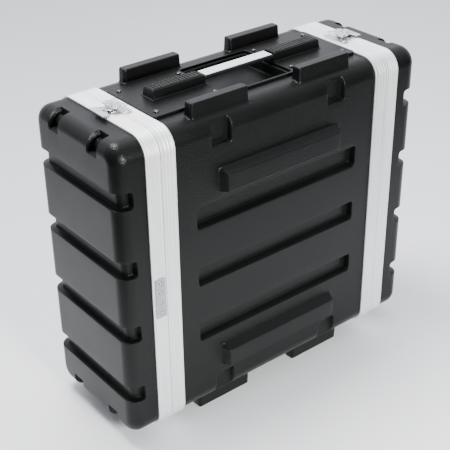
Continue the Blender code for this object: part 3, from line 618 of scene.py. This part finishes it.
def filletLoop(corners, radii, arcSteps=6, sideSteps=3):
    # a polygon, made anticlockwise, with its corners rounded; where a corner turns by angle a, the
    # fillet of radius r has its centre r / cos(a / 2) in from the corner, on its middle line
    corners = np.asarray(corners, float)
    following = np.roll(corners, -1, 0)
    if (corners[:, 0] * following[:, 1] - corners[:, 1] * following[:, 0]).sum() < 0:
        corners = corners[::-1]
    before = np.roll(corners, 1, 0) - corners
    after = np.roll(corners, -1, 0) - corners
    before /= np.linalg.norm(before, axis=1, keepdims=True)
    after /= np.linalg.norm(after, axis=1, keepdims=True)
    bend = math.pi - np.arccos(np.clip((before * after).sum(1), -1, 1))
    radii = np.broadcast_to(radii, len(corners)).astype(float)
    middle = (before + after) / np.linalg.norm(before + after, axis=1, keepdims=True)
    centre = corners + middle * (radii / np.cos(bend / 2))[:, None]
    share = np.linspace(-0.5, 0.5, arcSteps + 1)
    side = np.sign(before[:, 0] * after[:, 1] - before[:, 1] * after[:, 0])
    turn = -side[:, None] * bend[:, None] * share[None]
    away = -middle
    arcs = np.stack((away[:, :1] * np.cos(turn) - away[:, 1:] * np.sin(turn),
                     away[:, :1] * np.sin(turn) + away[:, 1:] * np.cos(turn)), -1)
    arcs = centre[:, None] + radii[:, None, None] * arcs
    start, end = arcs[:, -1], np.roll(arcs[:, 0], -1, 0)
    part = np.linspace(0, 1, sideSteps + 1)[1:-1]
    straight = start[:, None] + (end - start)[:, None] * part[None, :, None]
    return np.concatenate((arcs, straight), 1).reshape(-1, 2)


def loopNormals(loop):
    along = np.roll(loop, -1, 0) - np.roll(loop, 1, 0)
    normal = np.stack((along[:, 1], -along[:, 0]), 1)
    return normal / np.maximum(np.linalg.norm(normal, axis=1, keepdims=True), 1e-9)


def roundedRim(edge, low, high, steps=4):
    # (inset, height) down one side of a plate whose edges are rounded by edge, top first
    turn = np.linspace(0, math.pi / 2, steps + 1)
    top = np.stack((edge - edge * np.sin(turn), high - edge + edge * np.cos(turn)), 1)
    return np.concatenate((top, top[::-1] * (1, -1) + (0, high + low)))


def cappedRows(rows, topPole, bottomPole):
    # rings of points, first ring at the top, closed with one point at each end
    rows = np.asarray(rows)
    count, ring = rows.shape[:2]
    points = np.concatenate((rows.reshape(-1, 3), [topPole, bottomPole]))
    k = np.arange(ring)
    k2 = (k + 1) % ring
    top = np.stack((k2, k, np.full(ring, count * ring)), 1)
    last = (count - 1) * ring
    bottom = np.stack((k + last, k2 + last, np.full(ring, count * ring + 1)), 1)
    return points, [gridFaces(count, ring, False, True)[:, ::-1], top[:, ::-1], bottom[:, ::-1]]


def platePoints(loop, centre, low, high, edge, fill=(0.55, 0.8, 0.93)):
    # a flat plate: rings shrink from the rim to the centre, above and below
    loop, centre = np.asarray(loop), np.asarray(centre, float)
    rim = roundedRim(edge, low, high)
    ring = loop[None] - loopNormals(loop)[None] * rim[:, 0][:, None, None]
    rimRows = np.concatenate((ring, np.broadcast_to(rim[:, 1][:, None, None], ring.shape[:2] + (1,))), -1)
    share = np.array(fill)[:, None, None]
    inner = centre + (ring[0] - centre)[None] * share
    top = np.concatenate((inner, np.full(inner.shape[:2] + (1,), high)), -1)
    bottom = np.concatenate((inner[::-1], np.full(inner.shape[:2] + (1,), low)), -1)
    rows = np.concatenate((top, rimRows, bottom))
    return cappedRows(rows, (*centre, high), (*centre, low))


def framePoints(outerLoop, innerLoop, low, high, edge, across=3):
    # a plate with a hole: a closed band from the outer rim down, under, up the hole and back
    outerLoop, innerLoop = np.asarray(outerLoop), np.asarray(innerLoop)
    rim = roundedRim(edge, low, high)
    outRows = outerLoop[None] - loopNormals(outerLoop)[None] * rim[:, 0][:, None, None]
    inRows = innerLoop[None] + loopNormals(innerLoop)[None] * rim[::-1, 0][:, None, None]
    share = np.linspace(0, 1, across + 2)[1:-1][:, None, None]
    under = outRows[-1] + (inRows[0] - outRows[-1]) * share
    over = inRows[-1] + (outRows[0] - inRows[-1]) * share
    flat = np.concatenate((outRows, under, inRows, over))
    heights = np.concatenate((rim[:, 1], np.full(across, low), rim[::-1, 1], np.full(across, high)))
    rows = np.concatenate((flat, np.broadcast_to(heights[:, None, None], flat.shape[:2] + (1,))), -1)
    return rows.reshape(-1, 3), [gridFaces(*rows.shape[:2], True, True)[:, ::-1]]


def spunRows(profile, count):
    # (radius, height) pairs from the top down, spun round the upright axis and closed
    profile = np.asarray(profile, float)
    turn = np.arange(count) * 2 * math.pi / count
    rows = np.stack((profile[:, :1] * np.cos(turn), profile[:, :1] * np.sin(turn),
                     np.broadcast_to(profile[:, 1:], (len(profile), count))), -1)
    return cappedRows(rows, (0, 0, profile[0, 1]), (0, 0, profile[-1, 1]))


def domeProfile(radius, low, height, foot, steps=8):
    # a rivet or screw head: flattened dome over a short straight side, then its shank below
    turn = np.linspace(0.12, math.pi / 2, steps)
    dome = np.stack((radius * np.sin(turn), low + 0.3 + (height - 0.3) * np.cos(turn)), 1)
    return np.concatenate((dome, [(radius, low), (radius * 0.5, low), (radius * 0.5, foot)]))


def merged(shapes):
    # several closed surfaces as one mesh
    points, faces, start = [], [], 0
    for shape, groups in shapes:
        points.append(np.asarray(shape, float))
        faces += [np.asarray(group) + start for group in groups]
        start += len(shape)
    return np.concatenate(points), faces


def shifted(shape, move):
    points, faces = shape
    return np.asarray(points) + np.asarray(move, float), faces


def carried(shape, matrix):
    # the shape turned and moved by a 4 x 4 matrix; mirrored ones keep their outside outside
    points, faces = shape
    matrix = np.asarray(matrix, float)
    points = np.asarray(points) @ matrix[:3, :3].T + matrix[:3, 3]
    if np.linalg.det(matrix[:3, :3]) < 0:
        faces = [group[:, ::-1] for group in faces]
    return points, faces


def rectLoop(halfA, halfB, radius, lines=(6, 6), arcSteps=8):
    core, normal = outlineLoop(halfA - radius, halfB - radius,
                               np.linspace(radius - halfA, halfA - radius, lines[0]),
                               np.linspace(radius - halfB, halfB - radius, lines[1]), arcSteps)
    return core + normal * radius

handleSpec = {
    "plate": (209.5, 66.0, 6.0), "window": (70.0, 61.0, 6.0), "low": 0.3, "high": 4.5,
    "pad": {"a": (70.5, 177.0), "halfB": 16.5, "height": 14.6, "foot": 4.8, "fillet": 2.2,
            "draft": 1.6, "edge": 1.4, "plan": 4.0, "ribs": 15, "ribHeight": 1.4, "margin": 7.0},
    "strap": {"half": 69.5, "into": 3.0, "halfB": 13.0, "low": 11.0, "high": 17.0, "edge": 2.2},
    "inlay": {"half": 69.0, "halfB": 10.5, "low": 17.3, "high": 18.1, "edge": 0.35},
    "screws": ((195.0, 50.0), (80.0, 48.0)), "screwSeat": 4.8, "screwR": 3.7, "screwHeight": 2.2,
    "screwFoot": -3.0, "recess": {"armHalf": 0.75, "reach": 2.5, "depth": 1.3},
}


def handleFrame(side):
    # plan stays plan, height runs out from the shell's top or bottom
    matrix = np.diag((1.0, 1.0, side, 1.0))
    matrix[2, 3] = midZ + side * (halfZ - skinInset)
    return matrix


def padShape():
    # a moulded boss with a wide fillet at its foot; the top carries a raised border with fine
    # ribs across it
    spec = handleSpec["pad"]
    low, high = spec["a"]
    half = spec["halfB"]
    boss = (spec["fillet"], spec["draft"], spec["edge"])
    rim = spec["margin"]
    aLines = gridLines(low, high, 20, [bossLines(low + spec["fillet"], 1, *boss),
                                       bossLines(high - spec["fillet"], -1, *boss),
                                       np.linspace(low + rim - 2, high - rim + 2, spec["ribs"] * 8 + 1)])
    bLines = gridLines(-half, half, 9, [bothWays(bossLines(half - spec["fillet"], -1, *boss)),
                                        bothWays(np.linspace(half - rim - 1, half - rim + 2, 9))])
    a, b = aLines[:, None], bLines[None, :]
    fromEnd, fromSide = np.minimum(a - low, high - a) + 0 * b, half - np.abs(b) + 0 * a
    within = inside(fromEnd, fromSide, spec["plan"]) - spec["fillet"]
    top = spec["foot"] + 0.3 + bossProfile(within, spec["height"] - 0.3, *boss)
    field = inside(fromEnd - rim, fromSide - rim + 0.6, 1.5)
    field = smoothClamp(field / 0.8, 0.3)
    onTop = smoothClamp((within - spec["draft"] - spec["edge"] - 0.2) / 0.8, 0.3)
    pitch = (high - low - 2 * rim) / spec["ribs"]
    rib = np.clip(2.6 * (0.5 + 0.5 * np.cos((a - low - rim) * 2 * math.pi / pitch)) - 0.8, 0, 1)
    top = top + spec["ribHeight"] * onTop * (1 - field + field * rib)
    bottom = np.full(top.shape, spec["foot"])
    grid = np.stack((a + 0 * b, b + 0 * a, top), -1)
    below = np.stack((a + 0 * b, b + 0 * a, bottom), -1)
    return closedSlab(grid, below)


def closedSlab(top, bottom):
    # two grids of the same size joined round their borders
    rows, columns = top.shape[:2]
    start = rows * columns
    index = np.arange(start).reshape(rows, columns)
    border = np.concatenate((index[0, :-1], index[:-1, -1], index[-1, :0:-1], index[:0:-1, 0]))
    after = np.roll(border, -1)
    wallFaces = np.stack((border, border + start, after + start, after), 1)
    faces = [gridFaces(rows, columns)[:, ::-1], gridFaces(rows, columns) + start, wallFaces[:, ::-1]]
    return np.concatenate((top.reshape(-1, 3), bottom.reshape(-1, 3))), faces


def strapShape(spec, start, end, count):
    # a rounded rectangular section carried along the handle, closed at both ends
    edge = spec["edge"]
    section = rectLoop(spec["halfB"], (spec["high"] - spec["low"]) / 2, edge, (12, 4), 6)
    section = section + (0, (spec["high"] + spec["low"]) / 2)
    along = np.linspace(start, end, count)
    rows = np.stack((np.broadcast_to(along[:, None], (count, len(section))),
                     np.broadcast_to(section[None, :, 0], (count, len(section))),
                     np.broadcast_to(section[None, :, 1], (count, len(section)))), -1)
    centre = (spec["high"] + spec["low"]) / 2
    points, faces = cappedRows(rows, (start, 0, centre), (end, 0, centre))
    return points, [group[:, ::-1] for group in faces]


def screwShape():
    # pan head with a cross recess pressed in
    radius, height = handleSpec["screwR"], handleSpec["screwHeight"]
    turn = np.linspace(0, math.pi / 2, 9)
    inner = np.linspace(0.06, 0.62, 14)
    radial = np.concatenate((inner, 0.62 + 0.38 * np.sin(turn[1:])))
    top = np.concatenate((np.full(14, 1.0), 1 - 0.75 * (1 - np.cos(turn[1:]))))
    profile = np.stack((radius * radial, height * top), 1)
    profile = np.concatenate((profile, [(radius, 0.0), (2.0, 0.0), (2.0, handleSpec["screwFoot"])]))
    points, faces = spunRows(profile, 48)
    x, y, z = points.T
    arm = np.minimum(np.abs(x), np.abs(y))
    reach = np.maximum(np.abs(x), np.abs(y))
    recess = handleSpec["recess"]
    cross = smoothClamp((recess["armHalf"] - arm) / 0.35, 0.3) * (z > height * 0.7)
    cross = cross * smoothClamp((recess["reach"] - reach) / 0.9, 0.3)
    points = np.stack((x, y, z - recess["depth"] * cross), 1)
    return points, faces


plateLoopOut = rectLoop(*handleSpec["plate"], (16, 10), 8)
plateLoopIn = rectLoop(*handleSpec["window"], (16, 10), 8)
plateShape = framePoints(plateLoopOut, plateLoopIn, handleSpec["low"], handleSpec["high"], 1.1, 6)
padPoints = padShape()
screwPoints = screwShape()
for sideName, side in sides.items():
    place = handleFrame(side)
    points, faces = carried(plateShape, place)
    makePiece("grip_plate_" + sideName, points, faces, moulded, "case",
              ["handle_plate_" + sideName], sharp=60)
    for end, way in ends.items():
        turned = place @ np.diag((way, 1.0, 1.0, 1.0))
        points, faces = carried(padPoints, turned)
        makePiece("grip_pad_%s_%s" % (sideName, end), points, faces, moulded, "case",
                  ["handle_pad_%s_%s" % (sideName, end)], sharp=60)
        for kind, material, slot in (("strap", strapRubber, "strap_rubber"),
                                     ("inlay", vinyl, "white_inlay")):
            spec = handleSpec[kind]
            half = spec["half"] + spec.get("into", 0)
            points, faces = carried(strapShape(spec, 0.0, half, 40), turned)
            piece = makePiece("grip_%s_%s_%s" % (kind, sideName, end), points, faces, material, None,
                              ["handle_%s_%s" % (kind, sideName)], sharp=60)
            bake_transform(piece)
    heads = []
    for a, b in np.multiply.outer((-1, 1), handleSpec["screws"]).reshape(-1, 2):
        for signB in (-1, 1):
            heads.append(shifted(screwPoints, (a, signB * abs(b), handleSpec["screwSeat"])))
    points, faces = carried(merged(heads), place)
    makePiece("plate_screws_" + sideName, points, faces, dullZinc, "case",
              ["plate_screw_%s_%d" % (sideName, k) for k in range(1, 9)], sharp=50)
print("handles")

spliceSpec = {"x": (240.0, 259.0), "z": (246.0, 318.0), "low": 0.3, "high": 1.4, "corner": 2.5, "edge": 0.35,
              "rivets": 4, "pitch": 18.6, "rivetR": 3.4, "rivetHeight": 1.6}

spec = spliceSpec
halfA, halfB = ((spec[key][1] - spec[key][0]) / 2 for key in ("x", "z"))
plate = platePoints(rectLoop(halfA, halfB, spec["corner"], (8, 20), 8), (0, 0), spec["low"],
                    spec["high"], spec["edge"])
rivet = spunRows(domeProfile(spec["rivetR"], spec["high"], spec["rivetHeight"], spec["low"]), 40)
spread = (np.arange(spec["rivets"]) - (spec["rivets"] - 1) / 2) * spec["pitch"]
spliceShape = merged([plate] + [shifted(rivet, (0, along, 0)) for along in spread])
for end, side in ends.items():
    # local (across, up, out) to the case: out along the side the plate sits on
    place = np.eye(4)
    place[:3, 0], place[:3, 1], place[:3, 2] = (side, 0, 0), (0, 0, 1), (0, side, 0)
    place[:3, 3] = (side * sum(spec["x"]) / 2, side * halfY, sum(spec["z"]) / 2)
    points, faces = carried(spliceShape, place)
    makePiece("splice_cover_" + end, points, faces, dullAluminium, "lid_" + end,
              ["splice_plate_" + end], sharp=50)


def dressNode(name, material, bevel):
    # a CAD node keeps its own mesh and gets a finish and finely rounded edges
    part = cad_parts[name]
    part.data.materials.clear()
    part.data.materials.append(material)
    weld = part.modifiers.new("joined triangles", "WELD")
    weld.merge_threshold = 0.00001
    rounding = part.modifiers.new("edge break", "BEVEL")
    rounding.width = bevel * mm
    rounding.segments = 2
    rounding.limit_method = "ANGLE"
    rounding.angle_limit = math.radians(40)
    rounding.use_clamp_overlap = True
    rounding.harden_normals = True


for end in ends:
    for sideName in sides:
        dressNode("rack_rail_%s_%s" % (end, sideName), blackSteel, 0.35)
print("splice plates and rails")

latchSpec = {
    "pivot": 10.0, "sheet": 1.5, "edge": 0.45,
    "base": ((-18, 18), (-16, 26), (-3, 27), (3, 12), (12, 9), (15, 5)), "baseLow": 0.3,
    "baseRadii": (3, 5, 6, 4, 3, 2),
    "keeper": ((16, 13), (18, 16), (24, 16), (26, 13)),
    "claw": ((-4, 8), (17, 8), (22, 20), (33, 20)), "clawLow": 3.1, "clawRadii": (3, 3, 4, 3),
    "slot": ((0, 2), (2, 4.5), (13, 4.5), (15, 2)),
    "lip": (31.2, 33.0, 19.0, 1.0),           # its two u, half-length along v, lowest w
    "baseRivets": ((-9, -20), (-9, 20)),
    "rivetR": 3.4, "rivetHeight": 1.6,
    "postR": 4.0, "headR": 10.0, "headLow": 5.0, "headTop": 6.3, "blockTop": 11.6,
    "axisW": 9.8, "barrelR": 2.6, "barrelEnd": 9.5, "pinR": 1.2,
}
wingSpec = {
    "sheet": 2.0, "edge": 0.9, "dish": 1.0,
    "gapHalf": 4.6, "gapShare": 0.28,         # room for the spindle's block, and its share of the grid
    "root": 5.4, "tip": 20.0, "earReach": 3.2,
    "horns": ((13, -3), (15, -2), (17.5, 1)),  # from the middle, where the root starts
    # share of the way from root to tip, half-width there
    "flank": ((0, 12.5), (0.07, 15.6), (0.16, 17.2), (0.3, 17.2), (0.42, 15.8), (0.54, 15.1), (0.66, 15.2),
              (0.78, 16.6), (0.88, 18.8), (0.95, 19.0), (1.0, 17.6)),
}


def mirroredPair(half):
    # half an outline and its mirror image across v = 0, as one loop
    half = np.asarray(half, float)
    return np.concatenate((half, half[::-1] * (1, -1)))


def latchFrame(sideX, sideZ):
    # u runs outward over the lid, w away from the valance
    matrix = np.eye(4)
    matrix[:3, 0], matrix[:3, 1], matrix[:3, 2] = (sideX, 0, 0), (0, sideX * sideZ, 0), (0, 0, sideZ)
    matrix[:3, 3] = (sideX * bandSpec["split"], 0, midZ + sideZ * halfZ)
    return matrix


def rod(radius, low, high, count=28):
    # a rounded rod lying along v
    turn = np.linspace(0, math.pi / 2, 4)
    edge = 0.3
    rim = np.stack((radius - edge + edge * np.sin(turn), high - edge + edge * np.cos(turn)), 1)
    profile = np.concatenate((rim, rim[::-1] * (1, -1) + (0, high + low)))
    points, faces = spunRows(profile, count)
    x, y, z = points.T
    return np.stack((x, z, -y), 1), faces


def latchBase():
    # a flat stamped plate with two rivets in its wings
    spec = latchSpec
    top = spec["baseLow"] + spec["sheet"]
    plate = platePoints(filletLoop(mirroredPair(spec["base"]), spec["baseRadii"] + spec["baseRadii"][::-1]),
                        (-6, 0), spec["baseLow"], top, spec["edge"])
    rivet = spunRows(domeProfile(spec["rivetR"], top, spec["rivetHeight"], 0.4), 40)
    return merged([plate] + [shifted(rivet, (u, v, 0)) for u, v in spec["baseRivets"]])


def latchKeeper():
    # a small flat plate on the lid, which the claw's lip hooks over
    spec = latchSpec
    top = spec["baseLow"] + spec["sheet"]
    return platePoints(filletLoop(mirroredPair(spec["keeper"]), 1.2, 4, 8), (21, 0),
                       spec["baseLow"], top, spec["edge"])


def latchClaw():
    # a neck with a slot round the spindle; the wide end is turned down into a lip
    spec = latchSpec
    low = spec["clawLow"]
    outer = filletLoop(mirroredPair(spec["claw"]), spec["clawRadii"] + spec["clawRadii"][::-1], 6, 6)
    slot = filletLoop(mirroredPair(spec["slot"]), 1.0, 6, 6)
    plate = framePoints(outer, slot, low, low + spec["sheet"], spec["edge"], 4)
    lipLow, lipHigh, halfV, drop = spec["lip"]
    half = (lipHigh - lipLow) / 2
    lip = platePoints(rectLoop(half, halfV - 0.6, 0.5, (3, 16), 4), (0, 0), drop,
                      low + spec["sheet"] - 0.3, 0.3)
    return merged([plate, shifted(lip, ((lipLow + lipHigh) / 2, 0, 0))])


def latchSpindle():
    # a post and disc that turn in the base, with a block on top that carries the wing's pin
    spec = latchSpec
    low = spec["baseLow"] + spec["sheet"] + 0.3
    profile = [(4.2, spec["headTop"]), (spec["headR"] - 0.7, spec["headTop"]),
               (spec["headR"] - 0.2, spec["headTop"] - 0.2), (spec["headR"], spec["headTop"] - 0.6),
               (spec["headR"], spec["headLow"] + 0.2), (spec["headR"] - 0.2, spec["headLow"]),
               (spec["postR"], spec["headLow"]), (spec["postR"], low)]
    head = spunRows(profile, 64)
    block = platePoints(rectLoop(4, 4, 1.2, (5, 5), 6), (0, 0), spec["headTop"] - 1, spec["blockTop"], 1.0)
    pin = shifted(rod(spec["pinR"], -9, 9, 24), (0, 0, spec["axisW"]))
    return shifted(merged([head, block, pin]), (spec["pivot"], 0, 0))


def latchWing():
    # a grid from root to tip (along) and from flank to flank (across): the flanks are hollow
    # between two horns and two ears, the tip is hollow between the ears, and the middle of the
    # root steps back for the spindle's block. The sheet is rounded off all round its rim and
    # dished a little in the middle
    wing, axisW = wingSpec, latchSpec["axisW"]
    gap, gapShare = wing["gapHalf"], wing["gapShare"]
    along = 0.5 - 0.5 * np.cos(np.linspace(0, math.pi, 48))
    along = along[:, None]
    half = np.concatenate((np.linspace(0, gapShare, 9), gapShare + (1 - gapShare) * (
        0.5 - 0.5 * np.cos(np.linspace(0.0, math.pi, 30)))[1:]))
    half = np.sort(np.concatenate((half, [gapShare + 0.004])))
    across = np.concatenate((-half[:0:-1], half))[None, :]
    reachAt, reach = np.array(wing["flank"]).T
    fineAt = np.linspace(0, 1, 201)
    # the flank's corners are rounded by averaging over 17 neighbours
    wave = np.convolve(np.pad(np.interp(fineAt, reachAt, reach), 8, "edge"), np.ones(17) / 17, "valid")
    flank = np.interp(along, fineAt, wave)
    share = (np.abs(across) - gapShare) / (1 - gapShare)
    v = np.where(share <= 0, across / gapShare * gap, np.sign(across) * (gap + share * (flank - gap)))
    away = np.abs(v)
    hornAt, horn = np.array(wing["horns"], float).T
    root = np.where(share <= 0, wing["root"], np.interp(away, hornAt, horn))
    tip = wing["tip"] + wing["earReach"] * smoothClamp((away - 4) / 10, 0.5)
    u = root + (tip - root) * along
    fromRim = np.minimum(np.minimum(u - root, tip - u), (1 - np.abs(across)) * (flank - gap) * 1.39)
    thickness, edge = wing["sheet"] / 2, wing["edge"]
    drawn = np.clip(1 - fromRim / edge, 0, 1)
    thick = thickness - edge * (1 - np.sqrt(np.maximum(1 - drawn ** 2, 0))) * 0.95
    dish = -wing["dish"] * smoothClamp((u - 8) / 5, 0.5) * smoothClamp((21 - u) / 5, 0.5) * smoothClamp(
        (13 - away) / 5, 0.5)
    middle = axisW + dish
    top = np.stack((-u, v + 0 * u, middle + thick), -1)
    bottom = np.stack((-u, v + 0 * u, middle - thick), -1)
    barrels = [shifted(rod(latchSpec["barrelR"], *sorted((sign * gap, sign * latchSpec["barrelEnd"]))),
                       (0, 0, axisW)) for sign in (-1, 1)]
    return shifted(merged([closedSlab(top, bottom)] + barrels), (latchSpec["pivot"], 0, 0))


latchShapes = {"base": latchBase(), "keeper": latchKeeper(), "claw": latchClaw(),
               "spindle": latchSpindle(), "wing": latchWing()}
for end, sideX in ends.items():
    for sideName, sideZ in sides.items():
        corner = "%s_%s" % (end, sideName)
        ridesOn = {"base": "case", "keeper": "lid_" + end, "claw": "claw_" + corner,
                   "spindle": "spindle_" + corner, "wing": "wing_" + corner}
        for kind, shape in latchShapes.items():
            points, faces = carried(shape, latchFrame(sideX, sideZ))
            makePiece("%s_plated_%s" % (kind, corner), points, faces, zinc, ridesOn[kind],
                      ["latch_%s_%s" % (kind, corner)], sharp=50)
print("latches")

stageSpec = {
    "floor": "#e4e5e8", "floorPale": "#eceded", "floorHalf": 12,
    "world": "#f4f6ff", "worldStrength": (0.10, 2.2), "brightWay": (0.4, 0.7, 0.59),
    # the painted shade: the floor turns from pale to dark over fade metres, beyond lines at these
    # distances from the middle, square to these directions
    "shade": "#2b2c2e", "fade": 0.16, "lines": (((0.0, -1.0, 0.0), 0.62), ((-0.923, -0.385, 0.0), 0.70)),
    "eye": (-1.0056, -1.2348, 1.2022), "aim": (-0.0192, 0.0083, 0.2715), "roll": -0.0133, "lens": 83.03,
    # name, place, size, power
    "lamps": (("overhead", (-0.35, 0.45, 2.3), 0.9, 74.0), ("front", (-0.30, -1.85, 0.95), 0.5, 70.0)),
}


def floorWithPaintedShade():
    # matt painted board, faintly clouded. It is not plain: beyond the two lines it turns dark, a
    # painted shade that keeps what the big face reflects dark; a plain pale floor needs only the first
    # colour
    material, tree, shader = newMaterial("pale floor with painted shade", Roughness=0.7)
    place = node(tree, "ShaderNodeTexCoord")
    cloud = node(tree, "ShaderNodeTexNoise", [("Vector", place, "Object")], in_2=3.0, in_3=2.0)
    colour = node(tree, "ShaderNodeMix", [(0, cloud, "Fac")], data_type="RGBA",
                  in_6=linear(stageSpec["floor"]), in_7=linear(stageSpec["floorPale"]))
    paintedShadeMasks = []
    for way, distance in stageSpec["lines"]:
        along = node(tree, "ShaderNodeVectorMath", [("Vector", place, "Object")], in_1=way,
                     operation="DOT_PRODUCT")
        paintedShadeMasks.append(node(tree, "ShaderNodeMapRange", [("Value", along, "Value")], in_1=distance,
                           in_2=distance + stageSpec["fade"]))
    # painted shade: the floor goes dark beyond either line
    dark = node(tree, "ShaderNodeMath", [(0, paintedShadeMasks[0], "Result"), (1, paintedShadeMasks[1], "Result")],
                operation="MAXIMUM")
    paintedShadeMix = node(tree, "ShaderNodeMix", [(0, dark, "Value"), (6, colour, 2)], data_type="RGBA",
                  in_7=linear(stageSpec["shade"]))
    tree.links.new(paintedShadeMix.outputs[2], shader.inputs["Base Color"])
    return material


mesh = bpy.data.meshes.new("floor")
far = stageSpec["floorHalf"]
mesh.from_pydata([(-far, -far, 0), (far, -far, 0), (far, far, 0), (-far, far, 0)], [], [(0, 1, 2, 3)])
mesh.materials.append(floorWithPaintedShade())
floor = bpy.data.objects.new("floor", mesh)
bpy.context.collection.objects.link(floor)

world = bpy.data.worlds.new("soft white room")
bpy.context.scene.world = world
world.use_nodes = True
background = world.node_tree.nodes["Background"]
background.inputs["Color"].default_value = linear(stageSpec["world"])
# the room brightens smoothly toward a large soft wall up and behind the case
place = node(world.node_tree, "ShaderNodeTexCoord")
facing = node(world.node_tree, "ShaderNodeVectorMath", [("Vector", place, "Generated")],
              in_1=stageSpec["brightWay"], operation="DOT_PRODUCT")
glow = node(world.node_tree, "ShaderNodeMapRange", [("Value", facing, "Value")], in_1=-0.1, in_2=0.9,
            in_3=stageSpec["worldStrength"][0], in_4=stageSpec["worldStrength"][1])
world.node_tree.links.new(glow.outputs["Result"], background.inputs["Strength"])

for name, spot, size, power in stageSpec["lamps"]:
    lamp = bpy.data.lights.new(name, "AREA")
    lamp.shape = "DISK"
    lamp.size = size
    lamp.energy = power
    lampObject = bpy.data.objects.new(name, lamp)
    bpy.context.collection.objects.link(lampObject)
    lampObject.location = spot
    aim = Vector((0, 0, 0.3)) - Vector(spot)
    lampObject.rotation_euler = aim.to_track_quat("-Z", "Y").to_euler()

lens = bpy.data.cameras.new("camera")
lens.lens = stageSpec["lens"]
lens.sensor_width = 36.0
lens.clip_end = 100.0
lens.dof.use_dof = False
camera = bpy.data.objects.new("camera", lens)
bpy.context.collection.objects.link(camera)
look = (Vector(stageSpec["aim"]) - Vector(stageSpec["eye"])).to_track_quat("-Z", "Y").to_matrix().to_4x4()
camera.matrix_world = (Matrix.Translation(stageSpec["eye"]) @ look
                       @ Matrix.Rotation(stageSpec["roll"], 4, "Z"))
bpy.context.scene.camera = camera
